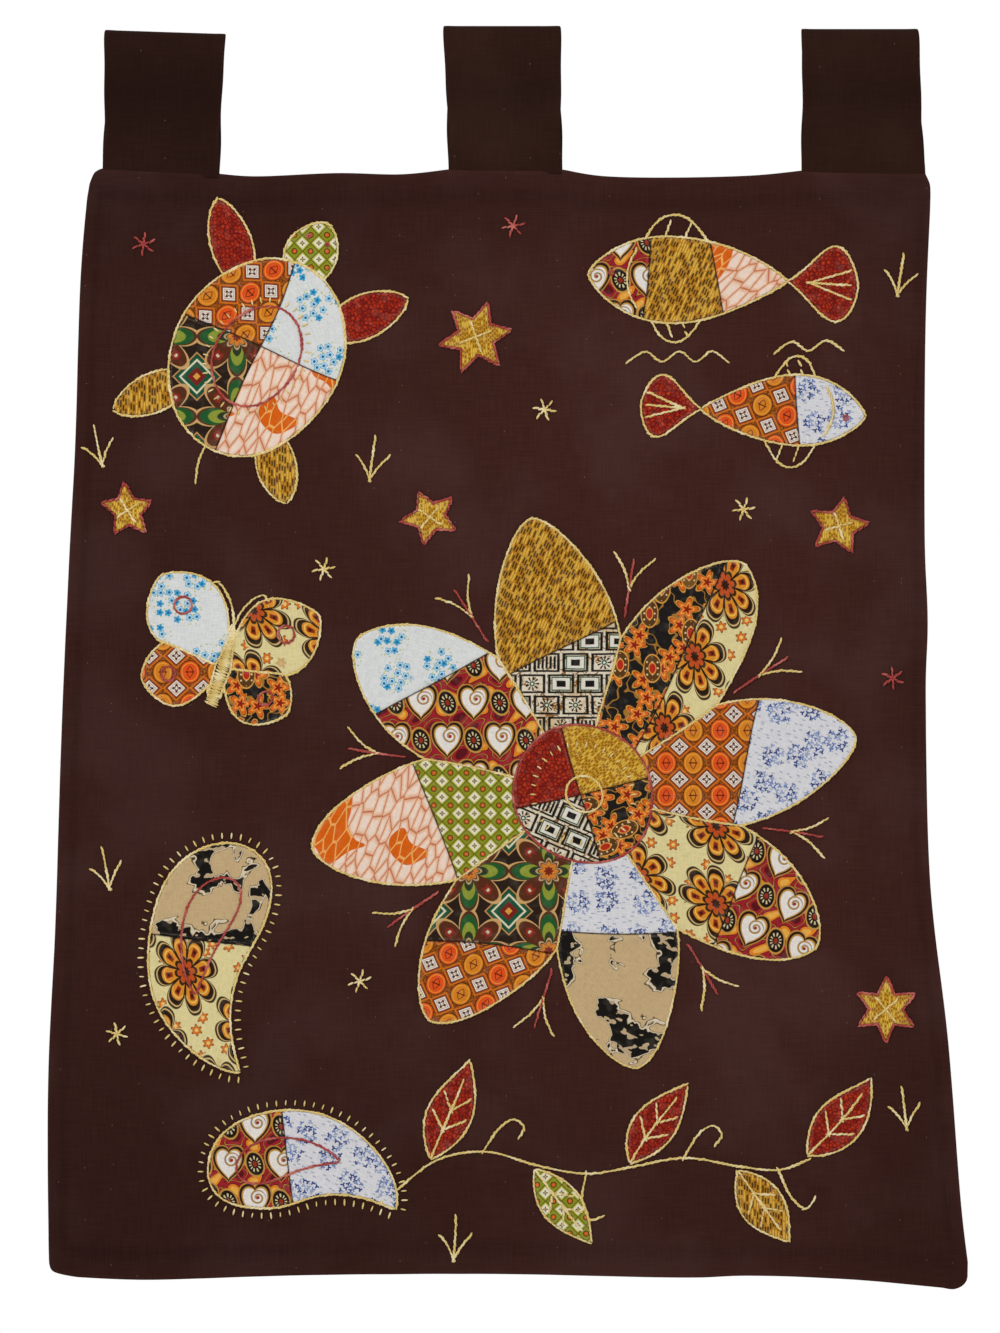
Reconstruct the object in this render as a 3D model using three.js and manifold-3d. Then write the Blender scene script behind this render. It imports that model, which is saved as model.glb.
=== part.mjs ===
// An applique wall hanging: one dark ground cloth hung by three tab loops, with motifs sewn on from printed patches.
// Millimetres, +Z up, the front facing -Y. The origin is midway along the line where a hanging rod bears in the loops.
import * as THREE from "three";
import { mergeVertices } from "three/addons/utils/BufferGeometryUtils.js";
import Module from "manifold-3d";

const wasm = await Module();
wasm.setup();

// Cloth thicknesses and the gaps between sewn pieces
const GROUND_THICK = 2.0;
const PATCH_THICK = 1.0;
const PATCH_GAP = 0.3;
const SEAM_GAP = 0.3;

// Tab loops: a doubled strip, bent over a rod and sewn into the top edge
const TAB_THICK = 1.6;
const TAB_BEND_RADIUS = 11.5;
const TAB_SEWN = 6;
const TAB_SEAT_GAP = 0.3;
const TAB_LEG_STEPS = 7;
const TAB_BEND_STEPS = 10;
const TABS = [
  { name: "tab_left", topLeft: -321.6, topRight: -226.4, baseLeft: -324, baseRight: -231.2, topZLeft: -1.6, topZRight: -4.8 },
  { name: "tab_middle", topLeft: -51.2, topRight: 41.6, baseLeft: -47.2, baseRight: 43.2, topZLeft: 1.6, topZRight: 1.6 },
  { name: "tab_right", topLeft: 235.2, topRight: 327.2, baseLeft: 235.2, baseRight: 333.6, topZLeft: -0.8, topZRight: -0.8 },
];

// The ground cloth's outline, one table an edge, each edge a smooth curve. Straight edges carry the tabs.
const EDGE_SPACING = 26;
const EDGES = [
  { side: "bottom", points: [[-346, -1000], [-286, -1001.6], [-166, -997.6], [-6, -997], [134, -1000], [194, -998.4], [274, -1000.8], [347, -1007]] },
  { side: "lower right corner", points: [[347, -1007], [357, -1008], [366, -1002], [367.6, -989]] },
  { side: "right", points: [[367.6, -989], [362, -938], [352, -810], [337.6, -682], [334.4, -538], [336, -474], [333.6, -400], [334.4, -240], [338, -140]] },
  { side: "right shoulder", points: [[338, -140], [337.6, -125.6], [333.6, -116]] },
  { side: "under the right tab", points: [[333.6, -116], [235.2, -114]] },
  { side: "top, right", points: [[235.2, -114], [194, -118], [130, -119.6], [76, -118.4], [43.2, -113]] },
  { side: "under the middle tab", points: [[43.2, -113], [-47.2, -113]] },
  { side: "top, left", points: [[-47.2, -113], [-86, -117], [-137, -116], [-200, -118.6], [-231.2, -116.5]] },
  { side: "under the left tab", points: [[-231.2, -116.5], [-324, -112]] },
  { side: "left shoulder", points: [[-324, -112], [-331, -116], [-336, -128]] },
  { side: "left", points: [[-336, -128], [-342, -202], [-346, -330], [-351, -426], [-357, -560], [-362, -714], [-368, -842], [-368, -982]] },
  { side: "lower left corner", points: [[-368, -982], [-365, -995], [-346, -1000]] },
];

// Soft folds: each runs from (x0, z0) to (x1, z1) and stands `rise` towards the viewer, `spread` to either side
const FOLDS = [
  { x0: 302, z0: -190, x1: 300, z1: -650, rise: 3.2, spread: 20 },
  { x0: 334, z0: -200, x1: 334, z1: -560, rise: -2.4, spread: 18 },
  { x0: -322, z0: -200, x1: -336, z1: -560, rise: -2.8, spread: 20 },
  { x0: -312, z0: -600, x1: -330, z1: -900, rise: 2.6, spread: 22 },
  { x0: 50, z0: -440, x1: 122, z1: -510, rise: -2.4, spread: 22 },
  { x0: -110, z0: -880, x1: -92, z1: -998, rise: 2.2, spread: 26 },
  { x0: 196, z0: -900, x1: 214, z1: -1000, rise: -2.6, spread: 24 },
  { x0: 366, z0: -1004, x1: 372, z1: -1010, rise: 9, spread: 64 },
  { x0: -366, z0: -1000, x1: -372, z1: -1006, rise: -5, spread: 60 },
];
const BILLOWS = [
  { height: 3.0, across: 76, down: 330, phase: 0.6 },
  { height: 1.6, across: 39, down: -210, phase: 2.1 },
];
// Folds die out towards the top edge, which the tabs hold straight
const HELD_Z = -112;
const FREE_Z = -270;
const CELL_WIDE = 21;
const CELL_TALL = 36;
const CLOTH_BOX = { left: -378, right: 378, bottom: -1016, top: -104 };

// How far a hand-cut outline wanders from a ruled one
const WOBBLES = [
  { axis: "x", size: 2.4, byX: 0, byZ: 1 / 39, phase: 0.8 },
  { axis: "x", size: 1.1, byX: 1 / 24, byZ: 1 / 24, phase: 0 },
  { axis: "z", size: 2.1, byX: 1 / 43, byZ: 0, phase: 2.0 },
  { axis: "z", size: 1.0, byX: 1 / 27, byZ: -1 / 27, phase: 0 },
];
const CUT_SPACING = 13;

// Printed cottons and the ground, by their average colour
const CLOTHS = {
  ground: 0x38211b,
  diamonds: 0xa0603c,
  sprigs: 0xd6dcea,
  ochre: 0x9e7a28,
  lotus: 0xdfc68c,
  scrolls: 0xb06a5a,
  wheel: 0x46503a,
  script: 0xbeb8aa,
  blotch: 0x8a7860,
  veins: 0xf2cdb0,
  vine: 0x38302c,
  floret: 0xd4e2ec,
  garnet: 0x84221a,
  lime: 0x96963e,
  honey: 0xcda030,
};
const CLOTH_ROUGHNESS = 0.9;

// The large medallion: petals round a hub. A seam crosses a petal at a share of its length, tilted from its axis.
const MEDALLION = { x: 62, z: -612, turn: 11, hub: 56, shoulder: 118, tip: 222, blunt: 1.25 };
const PETALS = [
  { seamAt: 0.46, seamTilt: 66, prints: ["diamonds", "sprigs"] },
  { seamAt: 0.5, seamTilt: 10, prints: ["vine", "lotus"] },
  { seamAt: 0.36, seamTilt: 108, prints: ["script", "ochre"] },
  { seamAt: 0.58, seamTilt: 62, prints: ["scrolls", "floret"] },
  { seamAt: 0.4, seamTilt: 97, prints: ["lime", "veins"] },
  { seamAt: 0.56, seamTilt: 118, prints: ["wheel", "diamonds"] },
  { seamAt: 0.34, seamTilt: 80, prints: ["sprigs", "blotch"] },
  { seamAt: 0.52, seamTilt: 100, prints: ["lotus", "scrolls"] },
];
const PETAL_STEPS = 6;
const HUB_STEPS = 11;

// Motifs cut as ovals, with the seams that cross them
const OVALS = [
  { name: "hub", x: 62, z: -612, turn: 20, length: 112, width: 112,
    seams: [{ at: 0.47, tilt: 84 }, { at: 0.5, tilt: -6 }], prints: ["garnet", "script", "honey", "vine"] },
  { name: "tortoise_shell", x: -202, z: -262, turn: 62, length: 164, width: 132,
    seams: [{ at: 0.55, tilt: 96 }, { at: 0.5, tilt: 6 }], prints: ["wheel", "veins", "diamonds", "floret"] },
];

// The tortoise's head and legs start inside the shell's edge and are trimmed back to it
const LIMB_ROOT = 0.72;
const LIMB_GAP = 0.5;
const LIMBS = [
  { name: "tortoise_head", around: 0, sweep: 0, length: 62, width: 40, print: "lime" },
  { name: "tortoise_leg_1", around: 48, sweep: -8, length: 74, width: 34, print: "garnet" },
  { name: "tortoise_leg_2", around: -48, sweep: 8, length: 74, width: 34, print: "garnet" },
  { name: "tortoise_leg_3", around: 132, sweep: 10, length: 66, width: 32, print: "ochre" },
  { name: "tortoise_leg_4", around: -132, sweep: -10, length: 66, width: 32, print: "ochre" },
];
const LIMB_FAT = 1.1;
const LIMB_BLUNT = 0.6;

// Motifs cut as lobes: an axis that starts at (x, z) and may bend, widest near its root where fat is under 1
const LOBES = [
  { name: "fish_upper", x: 62, z: -196, turn: -3, length: 158, width: 70, fat: 0.82, blunt: 0.85, bend: 0,
    seams: [{ at: 0.3, tilt: 84 }, { at: 0.66, tilt: 102 }], prints: ["scrolls", "ochre", "veins"] },
  { name: "fish_upper_tail", x: 220.8, z: -204.3, turn: -3, length: 56, width: 59, fat: 2, blunt: 0.62, bend: 0,
    seams: [], prints: ["garnet"] },
  { name: "fish_lower", x: 288, z: -312, turn: 176, length: 132, width: 56, fat: 0.82, blunt: 0.85, bend: 0,
    seams: [{ at: 0.42, tilt: 98 }], prints: ["sprigs", "diamonds"] },
  { name: "fish_lower_tail", x: 155.3, z: -302.7, turn: 176, length: 46, width: 47, fat: 2, blunt: 0.62, bend: 0,
    seams: [], prints: ["garnet"] },
  { name: "paisley_left", x: -196, z: -668, turn: 205, length: 200, width: 84, fat: 0.62, blunt: 0.8, bend: 118,
    seams: [{ at: 0.42, tilt: 100 }], prints: ["blotch", "lotus"] },
  { name: "paisley_low", x: -230, z: -938, turn: 60, length: 168, width: 74, fat: 0.62, blunt: 0.8, bend: -125,
    seams: [{ at: 0.4, tilt: 85 }], prints: ["scrolls", "sprigs"] },
  { name: "leaf_1", x: -62, z: -905, turn: 62, length: 84, width: 34, fat: 0.85, blunt: 1, bend: 10,
    seams: [], prints: ["garnet"] },
  { name: "leaf_2", x: 20, z: -915, turn: -52, length: 72, width: 30, fat: 0.85, blunt: 1, bend: 0,
    seams: [], prints: ["lime"] },
  { name: "leaf_3", x: 98, z: -905, turn: 58, length: 78, width: 32, fat: 0.85, blunt: 1, bend: -10,
    seams: [], prints: ["garnet"] },
  { name: "leaf_4", x: 182, z: -915, turn: -55, length: 70, width: 32, fat: 0.85, blunt: 1, bend: 0,
    seams: [], prints: ["ochre"] },
  { name: "leaf_5", x: 240, z: -902, turn: 40, length: 80, width: 34, fat: 0.85, blunt: 1, bend: 20,
    seams: [], prints: ["garnet"] },
];
const LOBE_STEPS = 9;

// The butterfly: four wings that lean from a stitched body, parted above and below by a line across it
const BUTTERFLY = {
  x: -229.1, z: -511.4, turn: 78, length: 66, width: 13, gap: 0.4, partTurn: 82, wing: { fat: 1.3, blunt: 0.68 },
};
const WINGS = [
  { name: "butterfly_wing_1", lean: 48, length: 88, width: 62, print: "floret" },
  { name: "butterfly_wing_2", lean: -48, length: 88, width: 62, print: "lotus" },
  { name: "butterfly_wing_3", lean: 112, length: 64, width: 50, print: "diamonds" },
  { name: "butterfly_wing_4", lean: -112, length: 64, width: 50, print: "vine" },
];

const STAR_WAIST = 0.5;
const STARS = [
  { name: "star_1", x: -28, z: -250, size: 56, turn: 12, tips: 6 },
  { name: "star_2", x: -62, z: -392, size: 44, turn: 40, tips: 5 },
  { name: "star_3", x: 264, z: -400, size: 46, turn: 5, tips: 5 },
  { name: "star_4", x: -304, z: -388, size: 42, turn: 20, tips: 5 },
  { name: "star_5", x: 304, z: -786, size: 50, turn: 33, tips: 6 },
];

const radians = THREE.MathUtils.degToRad;
const lerp = THREE.MathUtils.lerp;

// A point of a motif, `along` its heading from (x, z) and `aside` to the left of it
function offsetPoint(x, z, heading, along, aside) {
  return new THREE.Vector2(
    x + along * Math.cos(heading) - aside * Math.sin(heading),
    z + along * Math.sin(heading) + aside * Math.cos(heading),
  );
}

// How much of a fold's rise is felt at a point
function foldShare(x, z, fold) {
  const run = new THREE.Vector2(fold.x1 - fold.x0, fold.z1 - fold.z0);
  const from = new THREE.Vector2(x - fold.x0, z - fold.z0);
  const share = THREE.MathUtils.clamp(from.dot(run) / run.lengthSq(), 0, 1);
  const away = from.sub(run.multiplyScalar(share)).length() / fold.spread;
  return Math.exp(-away * away);
}

// How far the cloth's middle surface lies behind the plane of the rod, in Y
function relief(x, z) {
  const folds = FOLDS.reduce((sum, fold) => sum + fold.rise * foldShare(x, z, fold), 0);
  const billows = BILLOWS.reduce((sum, b) => sum + b.height * Math.sin(x / b.across + z / b.down + b.phase), 0);
  const free = THREE.MathUtils.smoothstep(HELD_Z - z, 0, HELD_Z - FREE_Z);
  return -free * (folds + billows);
}

function handCut(point) {
  const moved = point.clone();
  for (const w of WOBBLES) {
    const shift = w.size * Math.sin(point.x * w.byX + point.y * w.byZ + w.phase);
    if (w.axis === "x") moved.x += shift;
    else moved.y += shift;
  }
  return moved;
}

// A closed outline with no side longer than the spacing
function spaced(points, spacing) {
  return points.flatMap((point, i) => {
    const next = points[(i + 1) % points.length];
    const parts = Math.max(1, Math.ceil(point.distanceTo(next) / spacing));
    return Array.from({ length: parts }, (_, k) => point.clone().lerp(next, k / parts));
  });
}

// Cuts an outline by a line through a point and gives what is left on each side, half a gap back from the line
function split(points, through, heading, gap) {
  const normal = new THREE.Vector2(-Math.sin(heading), Math.cos(heading));
  return [1, -1].map((sign) => {
    const depth = points.map((p) => sign * p.clone().sub(through).dot(normal) - gap / 2);
    return points.flatMap((p, i) => {
      const next = (i + 1) % points.length;
      const kept = depth[i] >= 0 ? [p] : [];
      if (depth[i] >= 0 !== depth[next] >= 0)
        kept.push(p.clone().lerp(points[next], depth[i] / (depth[i] - depth[next])));
      return kept;
    });
  });
}

// The point and heading at a share of a lobe's axis
function onAxis(lobe, share) {
  const start = radians(lobe.turn);
  const bend = radians(lobe.bend);
  if (bend === 0) return { point: offsetPoint(lobe.x, lobe.z, start, share * lobe.length, 0), heading: start };
  const radius = lobe.length / bend;
  const heading = start + bend * share;
  const x = lobe.x + radius * (Math.sin(heading) - Math.sin(start));
  const z = lobe.z - radius * (Math.cos(heading) - Math.cos(start));
  return { point: new THREE.Vector2(x, z), heading };
}

function lobeOutline(lobe, steps) {
  const side = (sign, i) => {
    const share = 0.5 - 0.5 * Math.cos((Math.PI * i) / steps);
    const { point, heading } = onAxis(lobe, share);
    const half = (lobe.width / 2) * Math.max(0, Math.sin(Math.PI * share ** lobe.fat)) ** lobe.blunt;
    return offsetPoint(point.x, point.y, heading, 0, sign * half);
  };
  const right = Array.from({ length: steps }, (_, i) => side(-1, i));
  const left = Array.from({ length: steps }, (_, i) => side(1, steps - i));
  return [...right, ...left];
}

function ovalOutline(oval, steps) {
  return Array.from({ length: 2 * steps }, (_, i) => {
    const angle = (Math.PI * i) / steps;
    const along = (oval.length / 2) * Math.cos(angle);
    return offsetPoint(oval.x, oval.z, radians(oval.turn), along, (oval.width / 2) * Math.sin(angle));
  });
}

function starOutline(star) {
  return Array.from({ length: 2 * star.tips }, (_, i) => {
    const reach = (star.size / 2) * (i % 2 === 0 ? 1 : STAR_WAIST);
    return offsetPoint(star.x, star.z, radians(star.turn) + (Math.PI * i) / star.tips, reach, 0);
  });
}

// A petal: straight sides from the hub to the shoulder, then a blunt point
function petalOutline(heading) {
  const half = Math.PI / PETALS.length;
  const gap = SEAM_GAP / 2 / Math.cos(half);
  const hub = MEDALLION.hub + SEAM_GAP;
  const wide = MEDALLION.shoulder * Math.tan(half) - gap;
  const points = [];
  for (const share of [1, 0.5, 0, -0.5, -1]) {
    const along = hub * Math.cos(half * share);
    const aside = Math.min(Math.abs(hub * Math.sin(half * share)), along * Math.tan(half) - gap);
    points.push([along, Math.sign(share) * aside]);
  }
  for (let i = 0; i <= 2 * PETAL_STEPS; i++) {
    const angle = (Math.PI / 2) * (i / PETAL_STEPS - 1);
    const along = MEDALLION.shoulder + (MEDALLION.tip - MEDALLION.shoulder) * Math.cos(angle);
    points.push([along, Math.sign(angle) * wide * Math.abs(Math.sin(angle)) ** MEDALLION.blunt]);
  }
  return points.map(([along, aside]) => offsetPoint(MEDALLION.x, MEDALLION.z, heading, along, aside));
}

// Moves what lies inside an oval out to its edge
function pushedOut(points, oval, gap) {
  const turn = radians(oval.turn);
  return points.map((p) => {
    const u = (p.x - oval.x) * Math.cos(turn) + (p.y - oval.z) * Math.sin(turn);
    const v = (p.y - oval.z) * Math.cos(turn) - (p.x - oval.x) * Math.sin(turn);
    const reach = Math.max(1e-6, Math.hypot(u / (oval.length / 2 + gap), v / (oval.width / 2 + gap)));
    const out = Math.max(1, 1 / reach);
    return offsetPoint(oval.x, oval.z, turn, u * out, v * out);
  });
}

function solidOf(geometry) {
  geometry.deleteAttribute("normal");
  geometry.deleteAttribute("uv");
  const merged = mergeVertices(geometry, 1e-4);
  const triVerts = new Uint32Array(merged.index.array);
  return new wasm.Manifold(new wasm.Mesh({ numProp: 3, vertProperties: merged.attributes.position.array, triVerts }));
}

function geometryOf(solid) {
  const { numProp, numVert, vertProperties, triVerts } = solid.getMesh();
  const positions = new Float32Array(numVert * 3);
  for (let i = 0; i < numVert; i++) positions.set(vertProperties.subarray(i * numProp, i * numProp + 3), i * 3);
  const geometry = new THREE.BufferGeometry();
  geometry.setAttribute("position", new THREE.BufferAttribute(positions, 3));
  geometry.setIndex(new THREE.BufferAttribute(triVerts, 1));
  geometry.computeVertexNormals();
  return geometry;
}

// A layer of cloth that follows the relief over the whole box, between two offsets in Y, the front one first
function layer(front, back) {
  const { left, right, bottom, top } = CLOTH_BOX;
  const columns = Math.round((right - left) / CELL_WIDE);
  const rows = Math.round((top - bottom) / CELL_TALL);
  const positions = [];
  const faces = [];
  for (const offset of [front, back])
    for (let row = 0; row <= rows; row++)
      for (let column = 0; column <= columns; column++) {
        const x = lerp(left, right, column / columns);
        const z = lerp(bottom, top, row / rows);
        positions.push(x, relief(x, z) + offset, z);
      }
  const count = (rows + 1) * (columns + 1);
  const at = (row, column) => row * (columns + 1) + column;
  const rim = [];
  for (let row = 0; row < rows; row++)
    for (let column = 0; column < columns; column++) {
      const [a, b, c, d] = [at(row, column), at(row, column + 1), at(row + 1, column + 1), at(row + 1, column)];
      faces.push(a, b, c, a, c, d, a + count, c + count, b + count, a + count, d + count, c + count);
      if (row === 0) rim.push([b, a]);
      if (row === rows - 1) rim.push([d, c]);
      if (column === 0) rim.push([a, d]);
      if (column === columns - 1) rim.push([c, b]);
    }
  for (const [a, b] of rim) faces.push(a, b, b + count, a, b + count, a + count);
  const geometry = new THREE.BufferGeometry();
  geometry.setAttribute("position", new THREE.Float32BufferAttribute(positions, 3));
  geometry.setIndex(faces);
  return solidOf(geometry);
}

// What an outline cuts from a layer of cloth
function cutFrom(cloth, outline) {
  const deep = 60;
  const prism = new THREE.ExtrudeGeometry(new THREE.Shape(outline), { depth: 2 * deep, bevelEnabled: false });
  prism.rotateX(Math.PI / 2).translate(0, deep, 0);
  return geometryOf(solidOf(prism).intersect(cloth));
}

function groundOutline() {
  return EDGES.flatMap(({ points }) => {
    const curve = new THREE.SplineCurve(points.map(([x, z]) => new THREE.Vector2(x, z)));
    const parts = Math.max(points.length - 1, Math.round(curve.getLength() / EDGE_SPACING));
    return (points.length === 2 ? curve.getPoints(1) : curve.getPoints(parts)).slice(0, -1);
  });
}

// Half the loop's section: the middle of a leg stands this far from the loop's plane, at a share of its height
function legOffset(share) {
  return TAB_THICK / 2 + (TAB_BEND_RADIUS - TAB_THICK / 2) * Math.sin((Math.PI / 2) * share);
}

// A side view of the loop, `grow` outside the strip's middle, from the back leg over the bend to the front leg
function loopPath(height, foot, grow) {
  const bendAt = height - TAB_BEND_RADIUS - TAB_THICK / 2;
  const legs = Array.from({ length: TAB_LEG_STEPS }, (_, i) => i / TAB_LEG_STEPS);
  const rise = legs.map((share) => [legOffset(share) + grow, lerp(foot, bendAt, share)]);
  const bend = Array.from({ length: TAB_BEND_STEPS + 1 }, (_, i) => {
    const angle = (Math.PI * i) / TAB_BEND_STEPS;
    const reach = TAB_BEND_RADIUS + grow;
    return [reach * Math.cos(angle), bendAt + reach * Math.sin(angle)];
  });
  const front = rise.map(([y, h]) => [-y, h]).reverse();
  return [...rise, ...bend, ...front].map(([y, h]) => new THREE.Vector2(y, h));
}

function tabGeometry(tab) {
  const seat = EDGES.find(({ points }) => points.length === 2 && points[1][0] === tab.baseLeft).points;
  const baseLeft = seat[1][1] + TAB_SEAT_GAP;
  const baseRight = seat[0][1] + TAB_SEAT_GAP;
  const height = tab.topZLeft - baseLeft;
  const outer = new THREE.Shape(loopPath(height, 0, TAB_THICK / 2));
  const inner = loopPath(height, TAB_SEWN, -TAB_THICK / 2);
  inner.shift();
  inner.pop();
  outer.holes.push(new THREE.Path([new THREE.Vector2(0, TAB_SEWN), ...inner]));
  const geometry = new THREE.ExtrudeGeometry(outer, { depth: 1, steps: 2, bevelEnabled: false });
  const position = geometry.getAttribute("position");
  for (let i = 0; i < position.count; i++) {
    const across = position.getZ(i);
    const up = position.getY(i) / height;
    const x = lerp(lerp(tab.baseLeft, tab.topLeft, up), lerp(tab.baseRight, tab.topRight, up), across);
    const z = lerp(lerp(baseLeft, baseRight, across), lerp(tab.topZLeft, tab.topZRight, across), up);
    position.setXYZ(i, x, position.getX(i), z);
  }
  return geometryOf(solidOf(geometry));
}

const hanging = new THREE.Group();
hanging.name = "applique_wall_hanging";

function addPiece(name, geometry, cloth) {
  const material = new THREE.MeshStandardMaterial({ color: CLOTHS[cloth], roughness: CLOTH_ROUGHNESS, metalness: 0 });
  const mesh = new THREE.Mesh(geometry, material);
  mesh.name = name;
  hanging.add(mesh);
}

const groundFront = -GROUND_THICK / 2;
const patchCloth = layer(groundFront - PATCH_GAP - PATCH_THICK, groundFront - PATCH_GAP);

// Cuts a motif's outline at its seams and adds one patch for each part
function addPatches(name, outline, seams, prints) {
  const parts = seams.reduce(
    (cut, seam) =>
      cut.flatMap((part) => split(part, seam.point, seam.heading, SEAM_GAP)).filter((part) => part.length > 2),
    [outline],
  );
  parts.forEach((part, i) => {
    const edge = spaced(part, CUT_SPACING).map(handCut);
    addPiece(parts.length === 1 ? name : `${name}_${i + 1}`, cutFrom(patchCloth, edge), prints[i]);
  });
}

// Turns a seam's share and tilt into a point and a heading on a straight axis
function seamOn(origin, turn, from, length, seam) {
  const heading = radians(turn);
  const point = offsetPoint(origin.x, origin.z, heading, from + seam.at * length, 0);
  return { point, heading: heading + radians(seam.tilt) };
}

addPiece("ground_cloth", cutFrom(layer(groundFront, GROUND_THICK / 2), groundOutline()), "ground");
for (const tab of TABS) addPiece(tab.name, tabGeometry(tab), "ground");

PETALS.forEach((petal, i) => {
  const turn = MEDALLION.turn + (360 / PETALS.length) * i;
  const seam = { at: petal.seamAt, tilt: petal.seamTilt };
  const cut = seamOn(MEDALLION, turn, MEDALLION.hub, MEDALLION.tip - MEDALLION.hub, seam);
  addPatches(`petal_${i + 1}`, petalOutline(radians(turn)), [cut], petal.prints);
});

for (const oval of OVALS) {
  const seams = oval.seams.map((seam) => seamOn(oval, oval.turn, -oval.length / 2, oval.length, seam));
  addPatches(oval.name, ovalOutline(oval, HUB_STEPS), seams, oval.prints);
}

const shell = OVALS.find(({ name }) => name === "tortoise_shell");
for (const limb of LIMBS) {
  const around = radians(limb.around);
  const along = ((LIMB_ROOT * shell.length) / 2) * Math.cos(around);
  const root = offsetPoint(shell.x, shell.z, radians(shell.turn), along, ((LIMB_ROOT * shell.width) / 2) * Math.sin(around));
  const turn = shell.turn + limb.around + limb.sweep;
  const lobe = { ...limb, x: root.x, z: root.y, turn, fat: LIMB_FAT, blunt: LIMB_BLUNT, bend: 0 };
  addPatches(limb.name, pushedOut(lobeOutline(lobe, LOBE_STEPS), shell, LIMB_GAP), [], [limb.print]);
}

for (const lobe of LOBES) {
  const seams = lobe.seams.map((seam) => {
    const { point, heading } = onAxis(lobe, seam.at);
    return { point, heading: heading + radians(seam.tilt) };
  });
  addPatches(lobe.name, lobeOutline(lobe, LOBE_STEPS), seams, lobe.prints);
}

// Each wing keeps to its own side of the body's axis, and above or below the line that parts the wings
for (const wing of WINGS) {
  const lobe = { ...BUTTERFLY.wing, ...wing, x: BUTTERFLY.x, z: BUTTERFLY.z, turn: BUTTERFLY.turn + wing.lean, bend: 0 };
  const middle = new THREE.Vector2(BUTTERFLY.x, BUTTERFLY.z);
  const side = wing.lean > 0 ? 0 : 1;
  const beside = split(lobeOutline(lobe, LOBE_STEPS), middle, radians(BUTTERFLY.turn), SEAM_GAP)[side];
  const partHeading = radians(BUTTERFLY.turn + Math.sign(wing.lean) * BUTTERFLY.partTurn);
  const ahead = Math.abs(wing.lean) < 90 ? 1 - side : side;
  const parted = split(pushedOut(beside, BUTTERFLY, BUTTERFLY.gap), middle, partHeading, SEAM_GAP)[ahead];
  addPatches(wing.name, parted, [], [wing.print]);
}

for (const star of STARS) addPatches(star.name, starOutline(star), [], ["honey"]);

export default hanging;
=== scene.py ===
"""Dresses an applique wall hanging: a dark cloth on three tab loops, its patchwork motifs and its stitching.

Shapes are worked out in millimetres in the plane of the cloth: x to the right, z up. A point of that plane
is a complex number, x + 1j * z, and y runs away from the viewer. Meshes are written in metres.
"""

import logging
import math
from abc import ABC, abstractmethod
from dataclasses import dataclass, field, replace
from enum import Enum
from itertools import product
from typing import Any, Callable, Sequence

import bpy
import numpy as np
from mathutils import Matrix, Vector
from mathutils.geometry import delaunay_2d_cdt
from mathutils.kdtree import KDTree


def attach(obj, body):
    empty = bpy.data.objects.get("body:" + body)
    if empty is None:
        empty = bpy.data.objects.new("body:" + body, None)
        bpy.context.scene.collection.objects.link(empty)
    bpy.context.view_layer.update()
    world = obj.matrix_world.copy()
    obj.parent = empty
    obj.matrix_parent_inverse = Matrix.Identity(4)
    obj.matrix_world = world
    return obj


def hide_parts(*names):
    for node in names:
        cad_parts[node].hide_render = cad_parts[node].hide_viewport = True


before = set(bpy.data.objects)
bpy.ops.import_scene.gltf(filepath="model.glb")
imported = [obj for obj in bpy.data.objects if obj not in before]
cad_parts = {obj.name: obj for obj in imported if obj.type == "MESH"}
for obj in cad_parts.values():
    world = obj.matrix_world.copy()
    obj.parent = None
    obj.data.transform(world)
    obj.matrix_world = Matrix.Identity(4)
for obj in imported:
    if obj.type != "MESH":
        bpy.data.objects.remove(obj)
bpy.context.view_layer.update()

Array = np.ndarray
Material = bpy.types.Material
Piece = bpy.types.Object
MM = 0.001
TURN = math.tau

HALF_THICK = 1.0
SEAM_GAP = 0.3
BODY = "root"
CLOTH_MAP = "cloth"
TWIST_MAP = "twist"
EDGE = "edge"

# How far a line of stitches lies in front of the ground: on the ground, at a patch's edge and on a patch
ON_GROUND = 0.75
ON_EDGE = 0.85
ON_PATCH = 1.5
# The least bend of a corner in an outline, in degrees, and the step at which it is measured
SHARP = 42.0
LINE_STEP = 2.0
# How much further the cotton of each part is turned than that of the last, in degrees
GRAIN_STEP = 23.0

log = logging.getLogger("wall_hanging")


class Cloth(Enum):
    """The cottons."""

    GROUND = "ground"
    TAB = "tab"
    DIAMONDS = "diamonds"
    SPRIGS = "sprigs"
    OCHRE = "ochre"
    LOTUS = "lotus"
    SCROLLS = "scrolls"
    WHEEL = "wheel"
    SCRIPT = "script"
    BLOTCH = "blotch"
    VEINS = "veins"
    VINE = "vine"
    FLORET = "floret"
    GARNET = "garnet"
    LIME = "lime"
    HONEY = "honey"

    @property
    def slot(self) -> str:
        """The slot that the cotton's finish belongs to."""
        return Cloth.GROUND.value if self is Cloth.TAB else self.value


class Thread(Enum):
    """The embroidery threads."""

    YELLOW = "yellow"
    RED = "red"
    BROWN = "brown"


@dataclass(frozen=True)
class StitchSize:
    """The measures of a stitch in millimetres, and its slant across the line in degrees."""

    pitch: float
    length: float
    width: float
    height: float
    slant: float
    sides: int = 6
    rings: int = 5

    def inputs(self) -> dict[str, float | int]:
        """The stitch tree's inputs, in metres and radians."""
        lengths = {"Pitch": self.pitch, "Length": self.length, "Width": self.width, "Height": self.height}
        scaled: dict[str, float | int] = {name: length * MM for name, length in lengths.items()}
        return scaled | {"Slant": math.radians(self.slant), "Sides": self.sides, "Rings": self.rings}


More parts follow.
